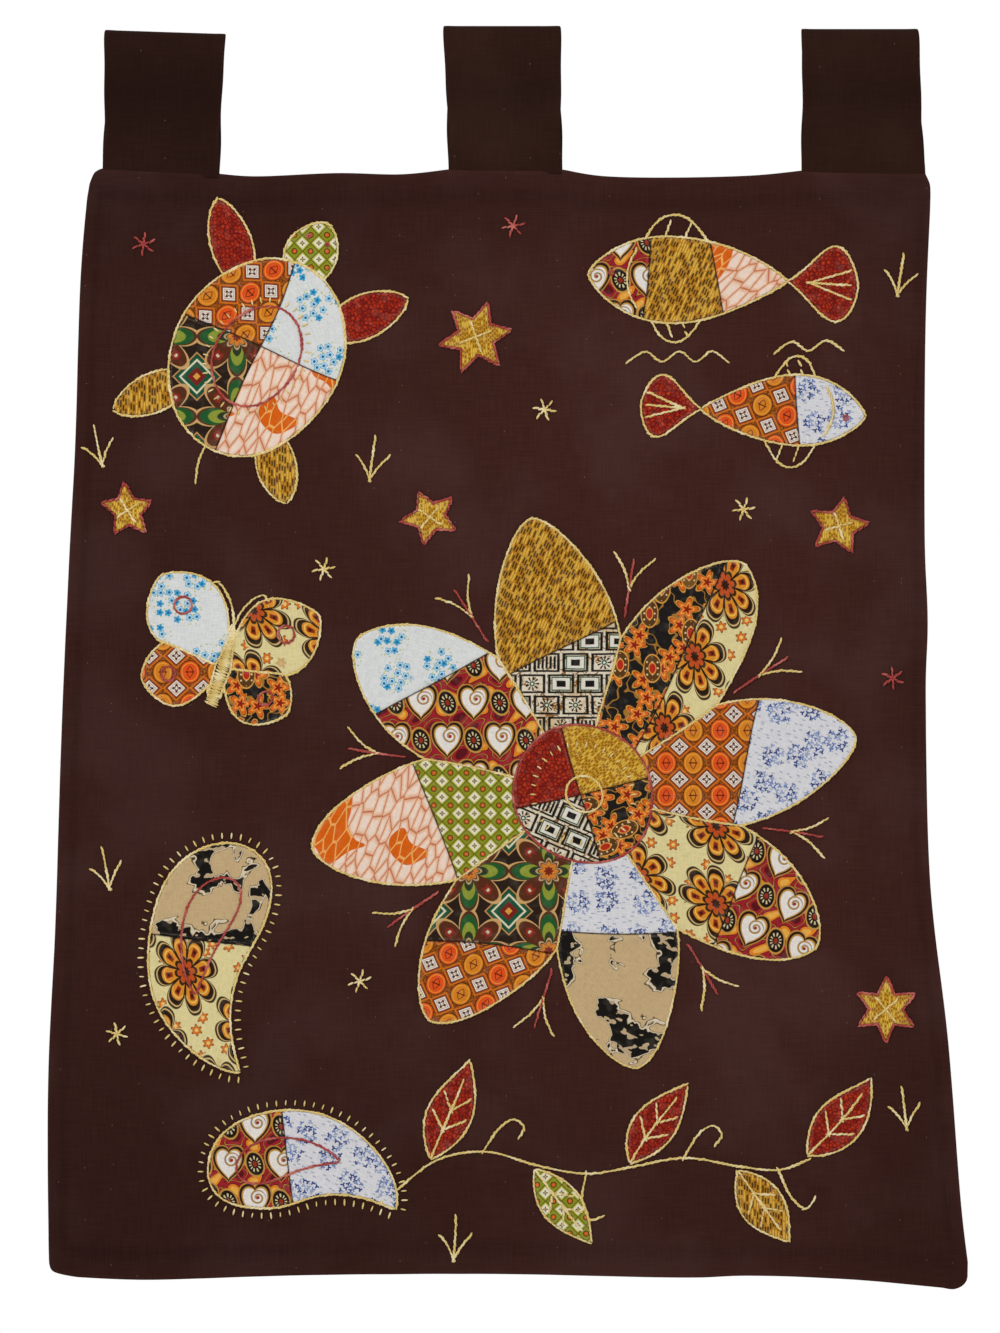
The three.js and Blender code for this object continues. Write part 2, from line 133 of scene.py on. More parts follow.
class Stitch(Enum):
    """The stitches."""

    STEM = StitchSize(3.8, 5.7, 2.05, 1.5, 11.0)
    TICK = StitchSize(7.5, 5.2, 1.55, 1.2, 88.0)
    KNOT = StitchSize(1.7, 3.6, 1.5, 1.7, 30.0)
    SATIN = StitchSize(1.25, 11.5, 1.5, 1.6, 84.0)
    REVERSE = StitchSize(6.4, 4.4, 1.05, 0.8, 2.0, 5, 4)
    SLIP = StitchSize(11.0, 3.4, 0.7, 0.6, 40.0, 5, 4)


# Plane geometry


def facing(degrees: float) -> complex:
    """The unit vector of a heading, anticlockwise from +x."""
    return complex(math.cos(math.radians(degrees)), math.sin(math.radians(degrees)))


def smoothstep(low: float, high: float, value: Array) -> Array:
    """A soft step from 0 at low to 1 at high."""
    share = np.clip((value - low) / (high - low), 0.0, 1.0)
    return share * share * (3.0 - 2.0 * share)


def bell(value: Array, middle: float, spread: float) -> Array:
    """1 at the middle, and almost 0 two spreads away from it."""
    return np.exp(-(((value - middle) / spread) ** 2))


def rounded(depth: Array, radius: float) -> Array:
    """How full a rounded edge is at a depth: 0 at the edge itself, and 1 from the radius on."""
    return np.sqrt(np.clip(1 - (1 - np.minimum(depth, radius) / radius) ** 2, 0, 1))


def blend(start: Any, end: Any, share: Any) -> Any:
    """The value at a share of the way from the start to the end."""
    return start + (end - start) * share


def hand_cut(points: Array) -> Array:
    """Moves points as a hand-cut outline wanders from a ruled one."""
    x, z = points.real, points.imag
    across = 2.4 * np.sin(z / 39 + 0.8) + 1.1 * np.sin((x + z) / 24)
    upward = 2.1 * np.sin(x / 43 + 2.0) + 1.0 * np.sin((x - z) / 27)
    return points + across + 1j * upward


def spaced(points: Array, spacing: float, closed: bool = True) -> Array:
    """Splits the sides of an outline, or of an open line, so that none is longer than the spacing."""
    ends = np.roll(points, -1) if closed else points[1:]
    out: list[complex] = []
    for start, end in zip(points, ends):
        parts = max(1, math.ceil(abs(end - start) / spacing))
        out.extend(start + (end - start) * k / parts for k in range(parts))
    return np.array(out if closed else out + [points[-1]])


def along(line: Array, shares: Array) -> Array:
    """Points at shares of a line's length."""
    length = np.append(0.0, np.cumsum(np.abs(np.diff(line))))
    where = shares * length[-1]
    return np.interp(where, length, line.real) + 1j * np.interp(where, length, line.imag)


def even(points: Array, spacing: float) -> Array:
    """A closed outline with points at equal steps along it."""
    ring = np.append(points, points[0])
    count = max(8, round(np.abs(np.diff(ring)).sum() / spacing))
    return along(ring, np.arange(count) / count)


def spline(points: Sequence[Any], steps: int = 8) -> Array:
    """A smooth curve.

    Args:
        points: The points that it passes, as complex numbers or pairs.
        steps: Parts of each span.

    Returns:
        Points along the Catmull-Rom curve, both ends included.
    """
    knots = [p if isinstance(p, complex) else complex(*p) for p in points]
    last = len(knots) - 1
    out: list[complex] = []
    for i in range(last):
        before, here, there, after = (knots[min(max(k, 0), last)] for k in range(i - 1, i + 3))
        leave, arrive = (there - before) / 2, (after - here) / 2
        for k in range(steps):
            t = k / steps
            cubic = (2 * (here - there) + leave + arrive) * t**3
            out.append(cubic + (3 * (there - here) - 2 * leave - arrive) * t**2 + leave * t + here)
    return np.array(out + [knots[-1]])


def split(points: Array, at: complex, heading: complex, gap: float = SEAM_GAP) -> tuple[Array, Array]:
    """Cuts an outline by a line.

    Args:
        points: A closed outline.
        at: A point of the line.
        heading: The line's unit vector.
        gap: How far apart the two halves stay.

    Returns:
        What is left of the line, then what is right of it.
    """
    halves = []
    for sign in (1, -1):
        depth = sign * ((points - at) * np.conj(heading)).imag - gap / 2
        kept: list[complex] = []
        for i, p in enumerate(points):
            k = (i + 1) % len(points)
            if depth[i] >= 0:
                kept.append(p)
            if (depth[i] >= 0) != (depth[k] >= 0):
                kept.append(p + (points[k] - p) * depth[i] / (depth[i] - depth[k]))
        halves.append(np.array(kept))
    return halves[0], halves[1]


def outward(points: Array, distance: float) -> Array:
    """An anticlockwise outline moved out, or in for a negative distance."""
    run = np.roll(points, -1) - np.roll(points, 1)
    return points - 1j * distance * run / np.maximum(np.abs(run), 1e-9)


def edge_depth(points: Array, outline: Array) -> tuple[Array, Array]:
    """How deep points lie inside an outline, negative outside, and the number of the nearest side."""
    run = np.roll(outline, -1) - outline
    away = points[:, None] - outline
    share = np.clip((away * np.conj(run)).real / np.abs(run) ** 2, 0, 1)
    distance = np.abs(away - share * run)
    above = outline.imag > points.imag[:, None]
    crosses = above != (np.roll(outline, -1).imag > points.imag[:, None])
    with np.errstate(divide="ignore", invalid="ignore"):
        reach = outline.real + run.real * (points.imag[:, None] - outline.imag) / run.imag
    inside = (crosses & (points.real[:, None] < reach)).sum(axis=1) % 2 == 1
    least = distance.min(axis=1)
    return np.where(inside, least, -least), distance.argmin(axis=1)


# Shapes of the motifs


@dataclass(frozen=True)
class Seam:
    """A seam across a motif: its share of the motif's axis, and its tilt from that axis in degrees."""

    at: float
    tilt: float


@dataclass(frozen=True)
class Shape(ABC):
    """An outline that a maker would cut. x and z place it, and turn is its heading in degrees."""

    x: float
    z: float
    turn: float

    @property
    def root(self) -> complex:
        """The point that the shape is drawn from."""
        return complex(self.x, self.z)

    @abstractmethod
    def outline(self) -> Array:
        """The ruled outline, anticlockwise."""

    @abstractmethod
    def axis(self, share: float) -> tuple[complex, complex]:
        """The point and the heading at a share of the shape's axis."""


@dataclass(frozen=True)
class Lobe(Shape):
    """A leaf-like shape on an axis that may bend."""

    length: float
    width: float
    fat: float = 1.0
    blunt: float = 1.0
    bend: float = 0.0
    steps: int = 40

    def axis(self, share: float) -> tuple[complex, complex]:
        """The point and the heading at a share of the axis."""
        start = facing(self.turn)
        if self.bend == 0:
            return self.root + share * self.length * start, start
        radius = self.length / math.radians(self.bend)
        heading = facing(self.turn + self.bend * share)
        return self.root - 1j * radius * (heading - start), heading

    def rim(self, share: float, side: int, out: float = 0.0) -> complex:
        """A point on the left side, 1, or the right side, -1, moved out."""
        point, heading = self.axis(share)
        half = self.width / 2 * max(0.0, math.sin(math.pi * share**self.fat)) ** self.blunt
        return point + 1j * side * (half + out) * heading

    def outline(self) -> Array:
        """Out along the right side and back along the left."""
        shares = [0.5 - 0.5 * math.cos(math.pi * i / self.steps) for i in range(self.steps + 1)]
        right = [self.rim(share, -1) for share in shares[:-1]]
        return np.array(right + [self.rim(share, 1) for share in shares[:0:-1]])


@dataclass(frozen=True)
class Oval(Shape):
    """An ellipse, by its full length and width."""

    length: float
    width: float
    steps: int = 48

    def axis(self, share: float) -> tuple[complex, complex]:
        """The point and the heading at a share of the long axis."""
        return self.root + (share - 0.5) * self.length * facing(self.turn), facing(self.turn)

    def outline(self) -> Array:
        """Round the centre from the end of the long axis."""
        angle = np.pi * np.arange(2 * self.steps) / self.steps
        ellipse = self.length / 2 * np.cos(angle) + 1j * self.width / 2 * np.sin(angle)
        return self.root + ellipse * facing(self.turn)

    def push_out(self, points: Array, gap: float) -> Array:
        """Moves what lies inside the oval to its edge, a gap away."""
        local = (points - self.root) / facing(self.turn)
        reach = np.hypot(local.real / (self.length / 2 + gap), local.imag / (self.width / 2 + gap))
        return self.root + local * np.maximum(1.0, 1.0 / np.maximum(reach, 1e-6)) * facing(self.turn)


@dataclass(frozen=True)
class Star(Shape):
    """A star of a few straight tips."""

    size: float
    tips: int
    waist: float = 0.5

    def axis(self, share: float) -> tuple[complex, complex]:
        """The point and the heading from the centre to the first tip."""
        return self.root + share * self.size / 2 * facing(self.turn), facing(self.turn)

    def outline(self) -> Array:
        """Tip and waist by turns."""
        corners = []
        for i in range(2 * self.tips):
            reach = self.size / 2 * (self.waist if i % 2 else 1)
            corners.append(self.root + reach * facing(self.turn + 180 * i / self.tips))
        return np.array(corners)


@dataclass(frozen=True)
class Petal(Shape):
    """A petal of a round of eight: straight sides from the hub to the shoulder, then a blunt point."""

    hub: float = 56.0
    shoulder: float = 118.0
    tip: float = 222.0
    blunt: float = 1.25
    count: int = 8
    steps: int = 22
    hub_steps: int = 9

    @property
    def half(self) -> float:
        """Half of the angle that the petal fills, in radians."""
        return math.pi / self.count

    @property
    def gap(self) -> float:
        """Half a seam's gap, measured across the petal's axis."""
        return SEAM_GAP / 2 / math.cos(self.half)

    def axis(self, share: float) -> tuple[complex, complex]:
        """The point and the heading at a share of the way from the hub to the tip."""
        heading = facing(self.turn)
        return self.root + blend(self.hub, self.tip, share) * heading, heading

    def tip_curve(self) -> Array:
        """The free edge, from the right shoulder round the point to the left shoulder."""
        wide = self.shoulder * math.tan(self.half) - self.gap
        angle = np.pi / 2 * np.linspace(-1, 1, 2 * self.steps + 1)
        out = self.shoulder + (self.tip - self.shoulder) * np.cos(angle)
        aside = np.sign(angle) * wide * np.abs(np.sin(angle)) ** self.blunt
        return self.root + (out + 1j * aside) * facing(self.turn)

    def outline(self) -> Array:
        """The hub's arc, then the free edge."""
        share = np.linspace(1, -1, self.hub_steps)
        radius = self.hub + SEAM_GAP
        out = radius * np.cos(self.half * share)
        aside = np.minimum(np.abs(radius * np.sin(self.half * share)), out * math.tan(self.half) - self.gap)
        arc = self.root + (out + 1j * np.sign(share) * aside) * facing(self.turn)
        return np.append(arc, self.tip_curve())


# The hung cloth's surface


@dataclass(frozen=True)
class Fold:
    """A soft ridge or, with a negative rise, a trough from one point to another. It fades over its spread."""

    x0: float
    z0: float
    x1: float
    z1: float
    rise: float
    spread: float

    def depth(self, points: Array) -> Array:
        """How far the fold stands towards the viewer."""
        start, run = complex(self.x0, self.z0), complex(self.x1 - self.x0, self.z1 - self.z0)
        share = np.clip(((points - start) * np.conj(run)).real / abs(run) ** 2, 0, 1)
        return self.rise * bell(np.abs(points - start - share * run), 0.0, self.spread)


@dataclass(frozen=True)
class HungCloth:
    """The surface that the ground cloth follows, with all that is sewn to it.

    The cloth is held flat down to held_z. Below that its folds, billows and ripples grow, and they are whole
    at free_z. The creases run from the points that pull on it.
    """

    held_z: float = -112.0
    free_z: float = -270.0
    folds: tuple[Fold, ...] = (
        Fold(302, -190, 300, -650, 3.2, 20),
        Fold(334, -200, 334, -560, -2.4, 18),
        Fold(-322, -200, -336, -560, -2.8, 20),
        Fold(-312, -600, -330, -900, 2.6, 22),
        Fold(50, -440, 122, -510, -2.4, 22),
        Fold(-110, -880, -92, -998, 2.2, 26),
        Fold(196, -900, 214, -1000, -2.6, 24),
        Fold(366, -1004, 372, -1010, 9, 64),
        Fold(-366, -1000, -372, -1006, -5, 60),
    )
    creases: tuple[Fold, ...] = (
        Fold(-318, -126, -262, -206, 0.8, 8),
        Fold(-236, -124, -214, -190, -0.8, 9),
        Fold(-44, -122, -66, -178, 0.7, 9),
        Fold(40, -122, 62, -190, -0.9, 9),
        Fold(238, -124, 214, -186, 0.8, 9),
        Fold(330, -128, 300, -212, 0.9, 10),
        Fold(-336, -420, -250, -462, -0.6, 9),
        Fold(330, -700, 284, -742, 0.7, 10),
        Fold(-352, -820, -300, -846, -0.6, 9),
        Fold(160, -1000, 150, -962, 0.7, 8),
        Fold(300, -1002, 286, -956, -0.9, 9),
        Fold(-40, -998, -52, -964, 0.6, 8),
        Fold(-250, -1000, -236, -968, -0.7, 9),
    )

    def middle(self, points: Array) -> Array:
        """The middle surface's y."""
        x, z = points.real, points.imag
        folds = sum(fold.depth(points) for fold in self.folds)
        billows = 3.0 * np.sin(x / 76 + z / 330 + 0.6) + 1.6 * np.sin(x / 39 - z / 210 + 2.1)
        ripples = 0.28 * np.sin(x / 7.9 + z / 23) + 0.24 * np.sin(x / 19 - z / 8.6 + 1.3)
        free = smoothstep(0, self.held_z - self.free_z, self.held_z - z)
        return -free * (folds + billows + ripples) - sum(crease.depth(points) for crease in self.creases)

    def front(self, points: Array) -> Array:
        """The face's y."""
        return self.middle(points) - HALF_THICK

    def back(self, points: Array) -> Array:
        """The reverse side's y."""
        return self.middle(points) + HALF_THICK


HUNG = HungCloth()


def to_space(points: Array, y: Array) -> Array:
    """Rows of x, y, z in metres."""
    return np.column_stack((points.real, y, points.imag)) * MM


def skin(name: str, verts: Array, faces: Sequence[Sequence[int]], uv: Array, edge: Array) -> Piece:
    """Makes a smooth piece of cloth.

    Args:
        name: The piece's name.
        verts: Rows of x, y, z in metres.
        faces: Corner indices, anticlockwise from outside.
        uv: The place of each vertex on the flat cloth, in millimetres.
        edge: The distance of each vertex from the cloth's edge, in millimetres.

    Returns:
        The new object, at the origin.
    """
    mesh = bpy.data.meshes.new(name)
    mesh.from_pydata(verts.tolist(), [], [tuple(face) for face in faces])
    corners = np.empty(len(mesh.loops), dtype=np.int32)
    mesh.loops.foreach_get("vertex_index", corners)
    flat = np.column_stack((uv.real, uv.imag))[corners].astype(np.float32)
    mesh.uv_layers.new(name=CLOTH_MAP).data.foreach_set("uv", flat.ravel())
    mesh.attributes.new(EDGE, "FLOAT", "POINT").data.foreach_set("value", edge.astype(np.float32))
    mesh.polygons.foreach_set("use_smooth", [True] * len(mesh.polygons))
    mesh.update()
    return placed(name, mesh)


def placed(name: str, data: bpy.types.ID) -> Piece:
    """Puts a mesh, a curve, a lamp or a camera in the scene, at the origin."""
    item = bpy.data.objects.new(name, data)
    bpy.context.scene.collection.objects.link(item)
    return item


def enter(piece: Piece, node: str = "") -> None:
    """Attaches a piece to its body, hides the node that it stands for where it has one, and logs its faces.
    """
    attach(piece, BODY)
    if node:
        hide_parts(node)
    log.info("%s: %d faces", piece.name, len(piece.data.polygons))


# Node trees


def operator(operation: str, swapped: bool = False) -> Callable[..., "Value"]:
    """Makes a method of Value that adds a Math node.

    Args:
        operation: The node's operation.
        swapped: Whether the value comes last, as in a reflected operator.

    Returns:
        The method. It takes the other values of the node.
    """

    def method(self: "Value", *others: Any) -> "Value":
        """Adds the node."""
        values = (*others, self) if swapped else (self, *others)
        return self.tree.math(operation, *values)

    return method


class Value:
    """One output of a node, with the operators that formulas use."""

    def __init__(self, tree: "Tree", socket: bpy.types.NodeSocket) -> None:
        """Wraps a socket of the tree."""
        self.tree = tree
        self.socket = socket

    __add__ = __radd__ = operator("ADD")
    __mul__ = __rmul__ = operator("MULTIPLY")
    __sub__ = operator("SUBTRACT")
    __rsub__ = operator("SUBTRACT", swapped=True)
    __truediv__ = operator("DIVIDE")
    __pow__ = operator("POWER")
    __abs__ = operator("ABSOLUTE")
    sin = operator("SINE")
    cos = operator("COSINE")
    whole = operator("ROUND")
    most = operator("MAXIMUM")

    def other(self, key: int | str) -> "Value":
        """Another output of the same node."""
        return Value(self.tree, self.socket.node.outputs[key])

    def rise(self, low: Any, high: Any) -> "Value":
        """A soft step from 0 at low to 1 at high."""
        inputs = {0: self, 1: low, 2: high, 3: 0.0, 4: 1.0}
        return self.tree.add("ShaderNodeMapRange", {"interpolation_type": "SMOOTHSTEP"}, inputs)

    def under(self, edge: Any, soft: float = 0.02) -> "Value":
        """1 below an edge and 0 above it."""
        return 1.0 - self.rise(edge - soft, edge + soft)

    def near(self, middle: float, half: float, soft: float = 0.02) -> "Value":
        """1 within half a width of a value."""
        return abs(self - middle).under(half, soft)

    def cell(self, period: float) -> "Value":
        """The distance from the middle of the nearest of evenly spaced cells."""
        return self - (self / period).whole() * period


class Tree:
    """A node tree that formulas add to."""

    def __init__(self, tree: bpy.types.NodeTree) -> None:
        """Starts from an empty tree."""
        self.tree = tree
        self.tree.nodes.clear()

    def add(
        self,
        kind: str,
        settings: dict[str, Any] | None = None,
        inputs: dict[int | str, Any] | None = None,
        output: int | str = 0,
    ) -> Value:
        """Adds a node.

        Args:
            kind: The node's type.
            settings: Its settings, set first.
            inputs: Values or links for its sockets.
            output: The socket to hand back.

        Returns:
            That output.
        """
        node = self.tree.nodes.new(kind)
        for key, value in (settings or {}).items():
            setattr(node, key, value)
        for key, value in (inputs or {}).items():
            if isinstance(value, Value):
                self.tree.links.new(value.socket, node.inputs[key])
            else:
                node.inputs[key].default_value = value
        return Value(self, node.outputs[output]) if node.outputs else None

    def math(self, operation: str, *values: Any) -> Value:
        """Adds a Math node."""
        return self.add("ShaderNodeMath", {"operation": operation}, dict(enumerate(values)))

    def hypot(self, x: Value, y: Value) -> Value:
        """The distance from the origin."""
        return self.math("SQRT", x * x + y * y)

    def point(self, u: Any, v: Any, w: Any = 0.0) -> Value:
        """A vector of three values."""
        return self.add("ShaderNodeCombineXYZ", None, {0: u, 1: v, 2: w})


def colour(code: str) -> tuple[float, float, float, float]:
    """The linear colour of a hex code."""
    parts = [int(code[i : i + 2], 16) / 255 for i in (0, 2, 4)]
    linear = [c / 12.92 if c <= 0.04045 else ((c + 0.055) / 1.055) ** 2.4 for c in parts]
    return (*linear, 1.0)


class Dye(Tree):
    """The node tree of one material, with the textures that printed cloth uses."""

    def __init__(self, name: str) -> None:
        """Makes an empty material."""
        self.material = bpy.data.materials.new(name)
        self.material.use_nodes = True
        super().__init__(self.material.node_tree)

    def parts(self, vector: Value) -> tuple[Value, Value]:
        """The first two parts of a vector."""
        first = self.add("ShaderNodeSeparateXYZ", None, {0: vector})
        return first, first.other(1)

    def place(self, uv_map: str = CLOTH_MAP) -> tuple[Value, Value]:
        """The place on a piece's own map, in millimetres on cloth."""
        return self.parts(self.add("ShaderNodeUVMap", {"uv_map": uv_map}))

    def edge(self) -> Value:
        """The distance from the cloth's edge in millimetres."""
        return self.add("ShaderNodeAttribute", {"attribute_name": EDGE}, None, "Fac")

    def mix(self, base: Any, coat: Any, share: Any) -> Value:
        """Blends two colours, each a value or a hex code."""
        ends = [colour(c) if isinstance(c, str) else c for c in (base, coat)]
        return self.add("ShaderNodeMix", {"data_type": "RGBA"}, {0: share, 6: ends[0], 7: ends[1]}, 2)

    def layers(self, base: Any, *coats: tuple[Value, str]) -> Value:
        """Lays coloured coats on a base, each where its mask says."""
        for mask, coat in coats:
            base = self.mix(base, coat, mask)
        return base

    def noise(self, u: Any, v: Any, size: float, detail: float = 2.0, warp: float = 0.0) -> Value:
        """Smooth noise with features of about a size in millimetres, from 0 to 1."""
        inputs = {"Vector": self.point(u, v), "Scale": 1 / size, "Detail": detail, "Distortion": warp}
        return self.add("ShaderNodeTexNoise", {"noise_dimensions": "2D"}, inputs)

    def drift(self, scale: float) -> Value:
        """Smooth noise over the piece's own metres, from 0 to 1."""
        place = self.add("ShaderNodeTexCoord", None, None, "Object")
        return self.add("ShaderNodeTexNoise", None, {"Vector": place, "Scale": scale, "Detail": 2.0})

    def weave(self, u: Value, v: Value, thread: float) -> Value:
        """The relief of a plain weave, from -1 to 1."""
        return (u * (TURN / thread)).sin() * (v * (TURN / thread)).sin()

    def slubs(self, u: Value, v: Value, stretch: float, size: float, detail: float) -> Value:
        """Uneven threads along both directions, from 0 to 2."""
        return self.noise(u / stretch, v, size, detail) + self.noise(u, v / stretch, size, detail)

    def chance(self, u: Any, v: Any) -> Value:
        """A random value for each pair of whole numbers."""
        return self.add("ShaderNodeTexWhiteNoise", {"noise_dimensions": "2D"}, {"Vector": self.point(u, v)})

    def voronoi(
        self,
        u: Value,
        v: Value,
        size: float,
        loose: float,
        feature: str = "DISTANCE_TO_EDGE",
        output: str = "Distance",
    ) -> Value:
        """Adds cells of about a size in millimetres, and gives the distance from their walls by default."""
        settings = {"voronoi_dimensions": "2D", "feature": feature}
        inputs = {"Vector": self.point(u, v), "Scale": 1 / size, "Randomness": loose}
        return self.add("ShaderNodeTexVoronoi", settings, inputs, output)

    def scattered(self, u: Value, v: Value, size: float, loose: float = 0.8) -> tuple[Value, Value, Value]:
        """Scatters points about a size apart.

        Returns:
            The offsets u and v from the nearest point, and a random value that is its own.
        """
        at = self.voronoi(u, v, size, loose, "F1", "Position")
        point_u, point_v = self.parts(at)
        own, _ = self.parts(at.other("Color"))
        return u - point_u, v - point_v, own

    def flower(
        self, x: Value, y: Value, radius: float, petals: int, depth: float, turn: Any = 0.0
    ) -> Value:
        """How far out a place lies on a flower: 1 at its outline."""
        wave = ((self.math("ARCTAN2", y, x) + turn) * petals).cos()
        return self.hypot(x, y) / (radius * (1.0 - depth) + radius * depth * wave)

    def bunched(self, u: Value, v: Value, size: float, radius: float) -> Value:
        """1 where a place lies in one of the bunches that are about a size apart."""
        x, y, _ = self.scattered(u, v, size, 0.6)
        return self.hypot(x, y).under(radius, 0.1)

    def spoke(self, x: Value, y: Value, count: int) -> Value:
        """0 along evenly spaced spokes and 1 midway between them."""
        return abs(self.math("ARCTAN2", y, x).cell(TURN / count)) / (math.pi / count)

    def finish(
        self,
        base: Value,
        height: Any,
        roughness: Any,
        gloss: float = 0.5,
        sheen: float = 0.0,
        tint: str = "ffffff",
    ) -> Material:
        """Closes the tree.

        Args:
            base: The colour.
            height: The relief in millimetres.
            roughness: The roughness.
            gloss: The strength of the reflection.
            sheen: The strength of the sheen.
            tint: The sheen's colour.

        Returns:
            The material.
        """
        bump = self.add("ShaderNodeBump", None, {"Strength": 1.0, "Distance": MM, "Height": height})
        inputs = {"Base Color": base, "Roughness": roughness, "Normal": bump, "IOR": 1.45}
        inputs |= {"Specular IOR Level": gloss, "Sheen Weight": sheen, "Sheen Tint": colour(tint)}
        shader = self.add("ShaderNodeBsdfPrincipled", None, inputs)
        self.add("ShaderNodeOutputMaterial", None, {"Surface": shader})
        return self.material


def midway(u: Value, v: Value, wide: float, tall: float) -> tuple[Value, Value]:
    """The offsets from the nearest point where four of evenly spaced cells meet."""
    return (u + wide / 2).cell(wide), (v + tall / 2).cell(tall)


# Finishes of the cottons


@dataclass(frozen=True)
class Print(ABC):
    """A thin printed cotton. Sizes are in millimetres, and the rest are shares."""

    thread: float = 0.62
    sheen: float = 0.06
    skew: float = 0.9
    rubbed: float = 0.10
    faded: float = 0.03
    soiled: float = 0.24
    seam_shadow: float = 0.4

    @abstractmethod
    def pattern(self, g: Dye, u: Value, v: Value) -> Value:
        """The printed colour at a place."""

    def material(self, name: str) -> Material:
        """Prints the pattern on a plain weave, a little faded, rubbed at its edge and soiled, with painted
        shade along the seam at its edge.
        """
        g = Dye(name)
        u, v = g.place()
        edge = g.edge()
        printed = self.pattern(g, u + self.skew * g.noise(u, v, 17.0), v + self.skew * g.noise(v, u, 15.0))
        weave = g.weave(u, v, self.thread)
        slubs = g.slubs(u, v, 9.0, 0.9, 1.0)
        crumple = g.noise(u, v, 8.5, 3.0)
        turned = edge.near(1.9, 0.5, 0.8) * slubs.rise(0.9, 1.15)
        paler = turned * self.rubbed + self.faded * crumple.rise(0.5, 0.75)
        soil = (self.soiled * slubs - 0.17 + 0.05 * weave).most(0.0)
        # Soil in the slubs is dirt; seam_shadow adds painted shade within half a millimetre of the cut edge.
        soil_and_shade = soil + self.seam_shadow * edge.under(0.5, 0.7)
        shade = g.mix(g.mix(printed, "efe4d2", paler), "0e0906", soil_and_shade)
        height = 0.05 * weave + 0.10 * slubs + 0.9 * crumple
        return g.finish(shade, height, 0.80 + 0.14 * crumple, gloss=0.12, sheen=self.sheen, tint="fff6e8")


@dataclass(frozen=True)
class DiamondPrint(Print):
    """Brown ground with rows of white diamonds and orange discs."""

    repeat: float = 21.6
    row: float = 26.0

    def pattern(self, g: Dye, u: Value, v: Value) -> Value:
        """Discs between the diamonds, half a repeat along, every other one brighter."""
        white, dark = "ece2d4", "4f1d10"
        x, y = u.cell(self.repeat), v.cell(self.row)
        diamond = abs(x) / (0.37 * self.repeat) + abs(y) / (0.29 * self.row)
        flower = g.flower(x, y, 3.7, 4, 0.30)
        a, b = midway(u, v, self.repeat, self.row)
        disc = g.hypot(a, b * 0.88)
        lens = abs(a) / 2.3 + b * b / 22.0
        speck = g.noise(u, v, 1.5, 1.0)
        return g.layers(
            "9a4c0e",
            (speck.rise(0.5, 0.58) * 0.7, "5c3010"),
            (speck.under(0.34, 0.03) * 0.7, "c87c1c"),
            (diamond.near(1.27, 0.10, 0.05), "d8741c"),
            (diamond.near(1.07, 0.08, 0.04), "a8481c"),
            (diamond.near(0.96, 0.06, 0.03), dark),
            (diamond.under(0.88, 0.04), white),
            (diamond.near(0.66, 0.03, 0.03), "9c4a28"),
            (flower.under(1.0, 0.12), "55260f"),
            (flower.under(0.42, 0.1), white),
            (disc.under(8.3, 0.3), dark),
            (disc.under(7.6, 0.3), "dc8420"),
            (disc.under(7.6, 0.3) * u.cell(2 * self.repeat).rise(-0.1, 0.1), "e6541a"),
            (disc.near(6.3, 0.25, 0.2), "f6a83c"),
            (disc.under(5.2, 0.2) * lens.near(1.0, 0.16, 0.1), "6c2110"),
            (disc.under(5.2, 0.2) * abs(b).under(0.45, 0.15) * abs(a).under(3.6, 0.2), "5a1a0e"),
        )


@dataclass(frozen=True)
class SprigPrint(Print):
    """White ground with bunches of small blue sprigs."""

    bunch: float = 24.0
    spacing: float = 3.7

    def pattern(self, g: Dye, u: Value, v: Value) -> Value:
        """Florets in the bunches, pale buds between them."""
        x, y, own = g.scattered(u, v, self.spacing, 0.85)
        bunch = g.bunched(u - x, v - y, self.bunch, 9.5)
        floret = g.flower(x, y, 2.0, 3, 0.34, own * 40.0).under(1.0, 0.15) * bunch
        bud_x, bud_y, _ = g.scattered(u + 31.0, v, 5.6, 0.9)
        stem = g.noise(u, v, 6.0, 1.0).near(0.5, 0.010, 0.010)
        return g.layers(
            "e0dfe3",
            (g.flower(bud_x, bud_y, 1.3, 2, 0.4).under(1.0, 0.2) * 0.75, "929cb4"),
            (stem * bunch * 0.8, "8494b8"),
            (floret, "6c82b8"),
            (floret * own.rise(0.60, 0.62), "2f4382"),
            (floret * own.under(0.30), "9aa8ca"),
        )


@dataclass(frozen=True)
class StrawPrint(Print):
    """Ground with short upright dashes in narrow columns."""

    ground: str = "c08420"
    dash: str = "331d08"
    glow: str = "e6b446"
    column: float = 2.1
    length: float = 7.6

    def pattern(self, g: Dye, u: Value, v: Value) -> Value:
        """Each column starts at a place of its own. Its dashes differ in length, and a few are bright."""
        column = (u / self.column).whole()
        down = v + g.chance(column, 0.0) * self.length
        own = g.chance(column, (down / self.length).whole())
        dashes = abs(down.cell(self.length)).under(self.length * (0.26 + 0.20 * own), 0.3)
        across = abs(u.cell(self.column))
        stroke = dashes * across.under(self.column * 0.30, 0.14)
        return g.layers(
            self.ground,
            (g.noise(u, v, 11.0, 2.0).rise(0.48, 0.62) * 0.55, self.glow),
            (across.near(self.column / 2, 0.12, 0.10) * 0.6, self.dash),
            (stroke * 0.9, self.dash),
            (stroke * own.rise(0.68, 0.70), self.glow),
        )


